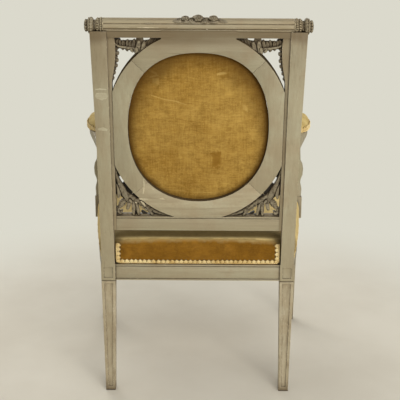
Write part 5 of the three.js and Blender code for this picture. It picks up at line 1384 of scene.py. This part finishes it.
def strap(place, start, end, middle, width, crossings, over):
    """A strap from start to end. Place turns (along, across, height) into a point; crossings
    are the places of the straps it meets, and over says whether it passes the first above."""
    rings = []
    lane = np.linspace(start, end, STRAP_STEPS)
    signs = [1 if (number % 2 == 0) == over else -1 for number in range(len(crossings))]
    heights = np.interp(lane, [start] + list(crossings) + [end], [0] + signs + [0])
    for distance, height in zip(lane, heights):
        rings.append(np.array([
            place(distance, middle + side * width / 2, (0.6 * height + face / 2) * STRAP_THICK)
            for side, face in STRAP_EDGE]))
    return skin(rings)


def net(width, first, second):
    """Straps that run one way, woven with straps that run the other. Each way is how to place a
    point, and the start, end and middle of every strap."""
    parts = []
    for (place, runs), (_, met), odd in ((first, second, 0), (second, first, 1)):
        crossings = [middle for _, _, middle in met]
        parts += [strap(place, start, end, middle, width, crossings, number % 2 == odd)
                  for number, (start, end, middle) in enumerate(runs)]
    return gather(parts)


SEAT_LANES = (-158.7, -52.9, 52.9, 158.7)
SEAT_CROSSINGS = (-192, -93, 5, 104)
WEB_LOW, WEB_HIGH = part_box("seat_webbing")
WEB_LEVEL = (WEB_LOW.z + WEB_HIGH.z) / 2
REACH_LOSS = 37 / (SEAT_CROSSINGS[-1] - SEAT_CROSSINGS[0])
SEAT_FRONT_REACH = 267
SEAT_STRAP, BACK_STRAP = 52, 50
seat_runs = [(WEB_LOW.y / MM + 4.5, WEB_HIGH.y / MM, lane) for lane in SEAT_LANES]
cross_runs = []
for lane in SEAT_CROSSINGS:
    reach = SEAT_FRONT_REACH - REACH_LOSS * (lane - SEAT_CROSSINGS[0])
    cross_runs.append((-reach, reach, lane))
build("seat_straps", net(
    SEAT_STRAP,
    (lambda y, x, height: np.array([MM * x, MM * y, WEB_LEVEL + MM * height]), seat_runs),
    (lambda x, y, height: np.array([MM * x, MM * y, WEB_LEVEL + MM * height]), cross_runs),
), JUTE, ["seat_webbing"])

OVAL_WIDE, OVAL_TALL, OVAL_RISE = 162.0, 183.0, 356.5
BACK_LANES = (-81, 0, 81)
BACK_CROSSINGS = (265, 356, 448)
BACK_WEB_DEPTH = 17


def oval_reach(distance, wide, tall):
    return wide * math.sqrt(max(1 - (distance / tall) ** 2, 0))


upright_runs, level_runs = [], []
for lane in BACK_LANES:
    reach = oval_reach(abs(lane) + BACK_STRAP / 2, OVAL_TALL, OVAL_WIDE)
    upright_runs.append((OVAL_RISE - reach, OVAL_RISE + reach, lane))
for lane in BACK_CROSSINGS:
    reach = oval_reach(abs(lane - OVAL_RISE) + BACK_STRAP / 2, OVAL_WIDE, OVAL_TALL)
    level_runs.append((-reach, reach, lane))
build("back_straps", net(
    BACK_STRAP,
    (lambda rise, x, height: on_back(x, BACK_WEB_DEPTH + height, rise), upright_runs),
    (lambda x, rise, height: on_back(x, BACK_WEB_DEPTH + height, rise), level_runs),
), JUTE, ["back_webbing"])
print("straps:", len(seat_runs + cross_runs), "in the seat,", len(upright_runs + level_runs),
      "in the back")

# %% Canvas over the seat straps
SAG, SAG_WIDE, SAG_LONG = 0.1 * MM, 52.9 * MM, 49 * MM
canvas_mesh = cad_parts["seat_canvas"].data.copy()
shape = bmesh.new()
shape.from_mesh(canvas_mesh)
bmesh.ops.remove_doubles(shape, verts=shape.verts, dist=WELD)
bmesh.ops.subdivide_edges(shape, edges=shape.edges, cuts=3, use_grid_fill=True)
for vertex in shape.verts:
    gap = math.sin(vertex.co.x * math.pi / SAG_WIDE) * math.sin(vertex.co.y * math.pi / SAG_LONG)
    vertex.co.z -= SAG * (1 + gap)
shape.to_mesh(canvas_mesh)
shape.free()
smooth_by_angle(canvas_mesh, 50)
canvas = piece_from(canvas_mesh, "seat_canvas_cloth", CANVAS, ["seat_canvas"])

# %% [markdown]
# ## Outside back
# The cloth that closes the oval from behind is one flat cut of velvet, pulled over the straps
# and tacked inside the rim. It domes a little, and it is slack enough to ripple near the edge.

# %% Outside back cloth
CLOTH_DEPTH = 14.0
CLOTH_DOME = 5.5
CLOTH_THICK = 1.2
CLOTH_RINGS, CLOTH_AROUND = 40, 120
TACKS, TACK_PULL = 18, 0.35
OPENING_SWELL, OPENING_SWELL_TOP = 7.8, 2.6


def opening_swell(turn):
    """How far the opening is fuller than an ellipse at a turn, in millimetres."""
    return (OPENING_SWELL + OPENING_SWELL_TOP * math.sin(turn)) * math.sin(2 * turn) ** 2


def slackness(x, rise):
    """Shallow ripples in a stretched cloth, in millimetres."""
    return 0.5 * math.sin(x / 21 + rise / 37) * math.sin(rise / 29 - x / 63) \
        + 0.25 * math.sin(x / 9 - rise / 13)


def cloth_face(level):
    points = [on_back(0, CLOTH_DEPTH - CLOTH_DOME - slackness(0, OVAL_RISE) + level, OVAL_RISE)]
    for share in np.linspace(0, 1, CLOTH_RINGS + 1)[1:]:
        for turn in turns_round(CLOTH_AROUND):
            x = (OVAL_WIDE + opening_swell(turn)) * share * math.cos(turn)
            rise = OVAL_RISE + (OVAL_TALL + opening_swell(turn)) * share * math.sin(turn)
            pull = TACK_PULL * math.cos(TACKS * turn) * share ** 8
            dome = CLOTH_DOME * (1 - share ** 2.2) + slackness(x, rise) * (1 - share ** 6)
            points.append(on_back(x, CLOTH_DEPTH - dome - pull + level, rise))
    return np.array(points)


def oval_faces(offset, flipped):
    faces = []
    for ring in range(CLOTH_RINGS):
        for step in range(CLOTH_AROUND):
            after = (step + 1) % CLOTH_AROUND
            outer = [1 + ring * CLOTH_AROUND + after, 1 + ring * CLOTH_AROUND + step]
            inner = [0] if ring == 0 else [1 + (ring - 1) * CLOTH_AROUND + step,
                                           1 + (ring - 1) * CLOTH_AROUND + after]
            face = tuple(offset + index for index in outer + inner)
            faces.append(face[::-1] if flipped else face)
    return faces


outer_points, inner_points = cloth_face(0), cloth_face(CLOTH_THICK)
count = len(outer_points)
cloth_faces = oval_faces(0, False) + oval_faces(count, True)
rim = 1 + (CLOTH_RINGS - 1) * CLOTH_AROUND
for step in range(CLOTH_AROUND):
    after = (step + 1) % CLOTH_AROUND
    cloth_faces.append((rim + step, rim + after, count + rim + after, count + rim + step))
back_cloth = build("outside_back_velvet", (np.vstack([outer_points, inner_points]), cloth_faces),
                   VELVET_BACK, ["outside_back_cloth"], 60)

# %% [markdown]
# ## Stuffed pieces
# Horsehair pushes a cover out until its threads pull tight, which is what a cloth simulation
# with inner pressure does. Each stuffed node is copied, drawn in a little, and given an even
# skin of small faces. Its tacked edges are held, air pushes the rest out, and the result is
# kept as a plain mesh.

# %% Stuffing
SWELL_FRAMES = 20
PRESSURE = 4.0
HOLD_DISTANCE = 5 * MM
PULLED_IN = 1.5 * MM
WOOD_SURFACE = surface_of(*wood.values())


def settled(piece):
    """The mesh of a piece with all of its modifiers applied."""
    graph = bpy.context.evaluated_depsgraph_get()
    graph.update()
    return bpy.data.meshes.new_from_object(piece.evaluated_get(graph))


def points_of(mesh):
    places = np.zeros(len(mesh.vertices) * 3, np.float32)
    mesh.vertices.foreach_get("co", places)
    return places.reshape(-1, 3).astype(float)


def normals_of(mesh):
    directions = np.zeros(len(mesh.vertices) * 3, np.float32)
    mesh.vertex_normals.foreach_get("vector", directions)
    return directions.reshape(-1, 3).astype(float)


def put_points(mesh, places):
    mesh.vertices.foreach_set("co", places.astype(np.float32).ravel())
    mesh.update()


def stuffed(node_name, name, finish, grain, cap, tacked):
    """Swells a copy of a soft node. Tacked says which points the tacks hold."""
    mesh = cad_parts[node_name].data.copy()
    piece = piece_from(mesh, name, finish, [node_name])
    weld = piece.modifiers.new("weld", "WELD")
    weld.merge_threshold = WELD
    skin_over = piece.modifiers.new("even_skin", "REMESH")
    skin_over.mode = "VOXEL"
    skin_over.voxel_size = grain * MM
    mesh = settled(piece)
    piece.modifiers.clear()
    start = points_of(mesh)
    near_wood = np.array([WOOD_SURFACE.find_nearest(Vector(point))[3] for point in start])
    held = np.array([tacked(point) for point in start]) | (near_wood < HOLD_DISTANCE)
    put_points(mesh, start - PULLED_IN * normals_of(mesh) * (~held)[:, None])
    mesh.materials.clear()
    mesh.materials.append(finish)
    piece.data = mesh
    group = piece.vertex_groups.new(name="tacked")
    group.add([int(index) for index in np.nonzero(held)[0]], 1.0, "REPLACE")
    cover = piece.modifiers.new("cover", "CLOTH")
    cover.settings.vertex_group_mass = "tacked"
    cover.settings.use_pressure = True
    cover.settings.uniform_pressure_force = PRESSURE
    cover.settings.effector_weights.gravity = 0
    cover.settings.quality = 5
    cover.point_cache.frame_start, cover.point_cache.frame_end = 1, SWELL_FRAMES
    for step in range(1, SWELL_FRAMES + 1):
        scene.frame_set(step)
    swollen = points_of(settled(piece))
    piece.modifiers.clear()
    piece.vertex_groups.clear()
    scene.frame_set(1)
    moved = swollen - start
    length = np.linalg.norm(moved, axis=1)
    capped = np.minimum(1, cap * MM / np.maximum(length, 1e-9))
    put_points(piece.data, start + moved * capped[:, None])
    print(name, "swelled by up to", round(float((length * capped).max()) / MM, 1), "mm")
    soften = piece.modifiers.new("soften", "SMOOTH")
    soften.factor, soften.iterations = 0.5, 3
    finer = piece.modifiers.new("finer", "SUBSURF")
    finer.levels = finer.render_levels = 1
    mesh = settled(piece)
    piece.modifiers.clear()
    for polygon in mesh.polygons:
        polygon.use_smooth = True
    piece.data = mesh
    return piece


SEAT_LOW, SEAT_HIGH = (np.array(corner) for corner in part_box("seat_cushion"))
SEAT_TACK_BAND = 11 * MM
seat = stuffed("seat_cushion", "seat_cover", VELVET_SEAT, 7, 5,
               lambda point: point[2] < SEAT_LOW[2] + SEAT_TACK_BAND)

ROLL_HEIGHT, ROLL_PLACE, ROLL_REACH = 8.5, 5.0, 7.5
FURROW_DEPTH, FURROW_PLACE, FURROW_REACH = 3.2, 21.0, 7.5
SHOULDER_DROP, SHOULDER_REACH = 11.0, 14
SEAT_HALF_WIDTH = 196 * MM
TOP_START, TOP_BLEND = 40 * MM, 18 * MM


def bump_at(distances, place, reach):
    return np.exp(-((distances - place) / reach) ** 2)


places = points_of(seat.data)
from_rear = (SEAT_HIGH[1] - places[:, 1]) / MM
across_share = np.clip(np.abs(places[:, 0]) / SEAT_HALF_WIDTH, 0, 1)
upper = np.clip((places[:, 2] - SEAT_LOW[2] - TOP_START) / TOP_BLEND, 0, 1)
roll = ROLL_HEIGHT * (1 - across_share ** 2) * bump_at(from_rear, ROLL_PLACE, ROLL_REACH)
furrow = FURROW_DEPTH * bump_at(from_rear, FURROW_PLACE, FURROW_REACH)
sloped = SHOULDER_DROP * across_share ** 5 * bump_at(from_rear, 0, SHOULDER_REACH)
places[:, 2] += MM * upper * (roll - furrow - sloped)
put_points(seat.data, places)
print("edge roll raised by", round(float((upper * roll).max()), 1), "mm")

PAD_TACK_DEPTH = 34.0


def depth_of(point):
    """How far a point lies in front of the back's rear face, in millimetres."""
    return -float((point - np.array([0, BACK_Y, SEAT_TOP])) @ REAR_DIRECTION) / MM


back_pad = stuffed("back_pad", "back_pad_cover", VELVET_ARMS, 6, 6,
                   lambda point: depth_of(point) < PAD_TACK_DEPTH)

ARM_TACK_BAND = 7 * MM
arm_pads = {}
for _, name in SIDES:
    pad_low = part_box("arm_pad_" + name)[0]
    arm_pads[name] = stuffed("arm_pad_" + name, "arm_pad_cover_" + name, VELVET_ARMS, 4, 3,
                             lambda point: point[2] < pad_low.z + ARM_TACK_BAND)

# %% [markdown]
# ## Braid
# Gimp is tacked over every raw edge of the velvet. Two cords twist round each other along its
# outer edge, and a row of small looped scallops points in over the cloth. Every cord is a tube
# along a wave, and every scallop a flattened pearl. The braid follows the cover under it.

# %% Braid
TWIST_PLACE, TWIST_SWING, TWIST_LIFT = -3.3, 1.6, 0.9
CORD_RADIUS = 1.65
CORDS = 2
SCALLOP = 11.0
SCALLOP_PLACE, SCALLOP_HALF = 0.2, 5.4
SCALLOP_SHAPE = (0.98, 0.42, 0.9)
TIP_PLACE, TIP_RADIUS = 4.9, 1.7
TIP_SHAPE = (1.0, 0.7, 1.2)
LOOP_RADIUS = 1.0
BRAID_STEP = 1.6


def evenly(line, closed):
    """Points spread evenly along a line in space, their distances, and the scallops' pitch."""
    line = np.asarray(line, float)
    if closed:
        line = np.vstack([line, line[:1]])
    steps = np.r_[0, np.cumsum(np.linalg.norm(np.diff(line, axis=0), axis=1))]
    count = max(int(steps[-1] / (BRAID_STEP * MM)), 8)
    pitch = steps[-1] / max(round(steps[-1] / (SCALLOP * MM)), 1)
    shares = np.linspace(0, steps[-1], count, endpoint=not closed)
    places = np.stack([np.interp(shares, steps, line[:, axis]) for axis in range(3)], 1)
    return places, shares, pitch


def evened(rows, closed):
    """Rows averaged with their neighbours. An open line keeps its ends."""
    if closed:
        return (np.roll(rows, 1, 0) + 2 * rows + np.roll(rows, -1, 0)) / 4
    rows[1:-1] = (rows[:-2] + 2 * rows[1:-1] + rows[2:]) / 4
    return rows


def units(rows):
    return rows / np.maximum(np.linalg.norm(rows, axis=1), 1e-12)[:, None]


def braid(line, ground, middle, closed=False):
    """Points and faces of a braid along a line, laid on the surface under it. Its scallops
    point toward the middle of the cloth that it borders."""
    places, shares, pitch = evenly(line, closed)
    outward = np.zeros_like(places)
    for index, place in enumerate(places):
        places[index], outward[index] = ground.find_nearest(Vector(place))[:2]
    for _ in range(4 if closed else 2):
        places, outward = evened(places, closed), evened(outward, closed)
    ahead = units(np.roll(places, -1, 0) - np.roll(places, 1, 0) if closed
                  else np.gradient(places, axis=0))
    inward = units(np.cross(ahead, outward))
    inward *= np.sign(((np.asarray(middle) - places) * inward).sum())
    outward = units(outward)

    def beside(side, lift):
        """The line moved toward the middle and off the cloth, in millimetres."""
        return places + MM * (np.multiply(inward.T, side) + np.multiply(outward.T, lift)).T

    parts = []
    for cord in range(CORDS):
        wave = 2 * math.pi * (shares / pitch + cord / CORDS)
        path = beside(TWIST_PLACE + TWIST_SWING * np.sin(wave),
                      CORD_RADIUS * 0.8 + TWIST_LIFT * np.cos(wave))
        parts.append(tube(path, MM * CORD_RADIUS, 7, closed))
    arch = np.abs(np.sin(math.pi * shares / pitch))
    path = beside(SCALLOP_PLACE + 0.86 * SCALLOP_HALF * arch, 0.5 + 1.2 * arch ** 0.5)
    parts.append(tube(path, MM * LOOP_RADIUS, 6, closed))
    crowns, tips = beside(SCALLOP_PLACE, 0.6), beside(TIP_PLACE, 0.8)
    for crown in np.arange(pitch / 2, shares[-1], pitch):
        at = int(np.abs(shares - crown).argmin())
        axes = (ahead[at], outward[at], inward[at])
        parts.append(pearl(crowns[at], MM * SCALLOP_HALF, SCALLOP_SHAPE, axes, 7, 12))
        parts.append(pearl(tips[at], MM * TIP_RADIUS, TIP_SHAPE, axes, 5, 8))
    return gather(parts)


def weighted(places, off, reach):
    """The middle of the places that lie near, by their distances off and a reach."""
    weights = np.exp(-(off / reach) ** 2) + 1e-12
    return (places * weights[:, None]).sum(0) / weights.sum()


def closed_line(node_name, first, second, stations):
    """The closed middle line of a braid node, averaged at even turns round its middle."""
    places = points_of(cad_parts[node_name].data)
    off = places - (places.min(0) + places.max(0)) / 2
    reach = [np.abs(off @ axis).max() for axis in (first, second)]
    turns = np.arctan2(off @ second / reach[1], off @ first / reach[0])
    return np.array([
        weighted(places, np.abs((turns - turn + math.pi) % (2 * math.pi) - math.pi),
                 2.2 * math.pi / stations)
        for turn in np.linspace(-math.pi, math.pi, stations, endpoint=False)])


print("braid helpers ready")

# %% Braid on the seat
SEAT_SURFACE = surface_of(seat)
GIMP_LOW, GIMP_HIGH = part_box("seat_gimp_rear")
BAND_MIDDLE = GIMP_LOW.z + 5.6 * MM
RISER_X = 196.2 * MM
RISER_TOP = GIMP_HIGH.z - 2 * MM
BREAK_X = 102.5 * MM
BREAK_GAP = 1.2 * MM
rear_y = SEAT_HIGH[1]
REAR_MIDDLE = np.array([0, rear_y, RISER_TOP])
SEAT_MIDDLE = np.array([0, 0, 2 * SEAT_HIGH[2]])
SIDE_STATIONS, SIDE_REACH = 24, 14 * MM
FRONT_STATIONS, FRONT_REACH = 80, 0.02

left_run = [(RISER_X, rear_y, RISER_TOP), (RISER_X, rear_y, BAND_MIDDLE),
            (BREAK_X + BREAK_GAP, rear_y, BAND_MIDDLE)]
right_run = [(BREAK_X - BREAK_GAP, rear_y, BAND_MIDDLE - 0.6 * MM),
             (-RISER_X, rear_y, BAND_MIDDLE), (-RISER_X, rear_y, RISER_TOP)]
rear_runs = [braid(run, SEAT_SURFACE, REAR_MIDDLE) for run in (left_run, right_run)]
build("braid_seat_rear", gather(rear_runs), BRAID, ["seat_gimp_rear"])


def side_line(node_name):
    """The middle line of a braid node that runs from the chair's front to its back."""
    places = points_of(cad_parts[node_name].data)
    depths = places[:, 1]
    stations = np.linspace(depths.min() + 2 * MM, depths.max() - 2 * MM, SIDE_STATIONS)
    line = np.array([weighted(places, depths - station, SIDE_REACH) for station in stations])
    line[:, 1] = stations
    line[:, 2] = BAND_MIDDLE
    return line


for _, name in SIDES:
    run = braid(side_line("seat_gimp_" + name), SEAT_SURFACE, SEAT_MIDDLE)
    build("braid_seat_" + name, run, BRAID, ["seat_gimp_" + name])

front_places = points_of(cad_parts["seat_gimp_front"].data)
front_turns = np.arctan2(front_places[:, 1], front_places[:, 0])
stations = np.linspace(front_turns.min(), front_turns.max(), FRONT_STATIONS)
front_line = np.array([weighted(front_places, front_turns - turn, FRONT_REACH)
                       for turn in stations])
front_line[:, 2] = BAND_MIDDLE
build("braid_seat_front", braid(front_line, SEAT_SURFACE, SEAT_MIDDLE), BRAID,
      ["seat_gimp_front"])

# %% Braid on the back pad and the arm pads
pad_line = closed_line("back_gimp", ACROSS, RISE_DIRECTION, 120)
ring_surface = surface_of(back_pad, *[wood[node_name] for node_name in RING_NODES])
build("braid_back_pad", braid(pad_line, ring_surface, pad_line.mean(0), closed=True), BRAID,
      ["back_gimp"])
for _, name in SIDES:
    line = closed_line("arm_pad_gimp_" + name, ACROSS, -FORWARD, 60)
    ground = surface_of(arm_pads[name], wood["arm_" + name])
    over_pad = line.mean(0) + 300 * MM * UP
    build("braid_arm_pad_" + name, braid(line, ground, over_pad, closed=True), BRAID,
          ["arm_pad_gimp_" + name])
print("braids laid")
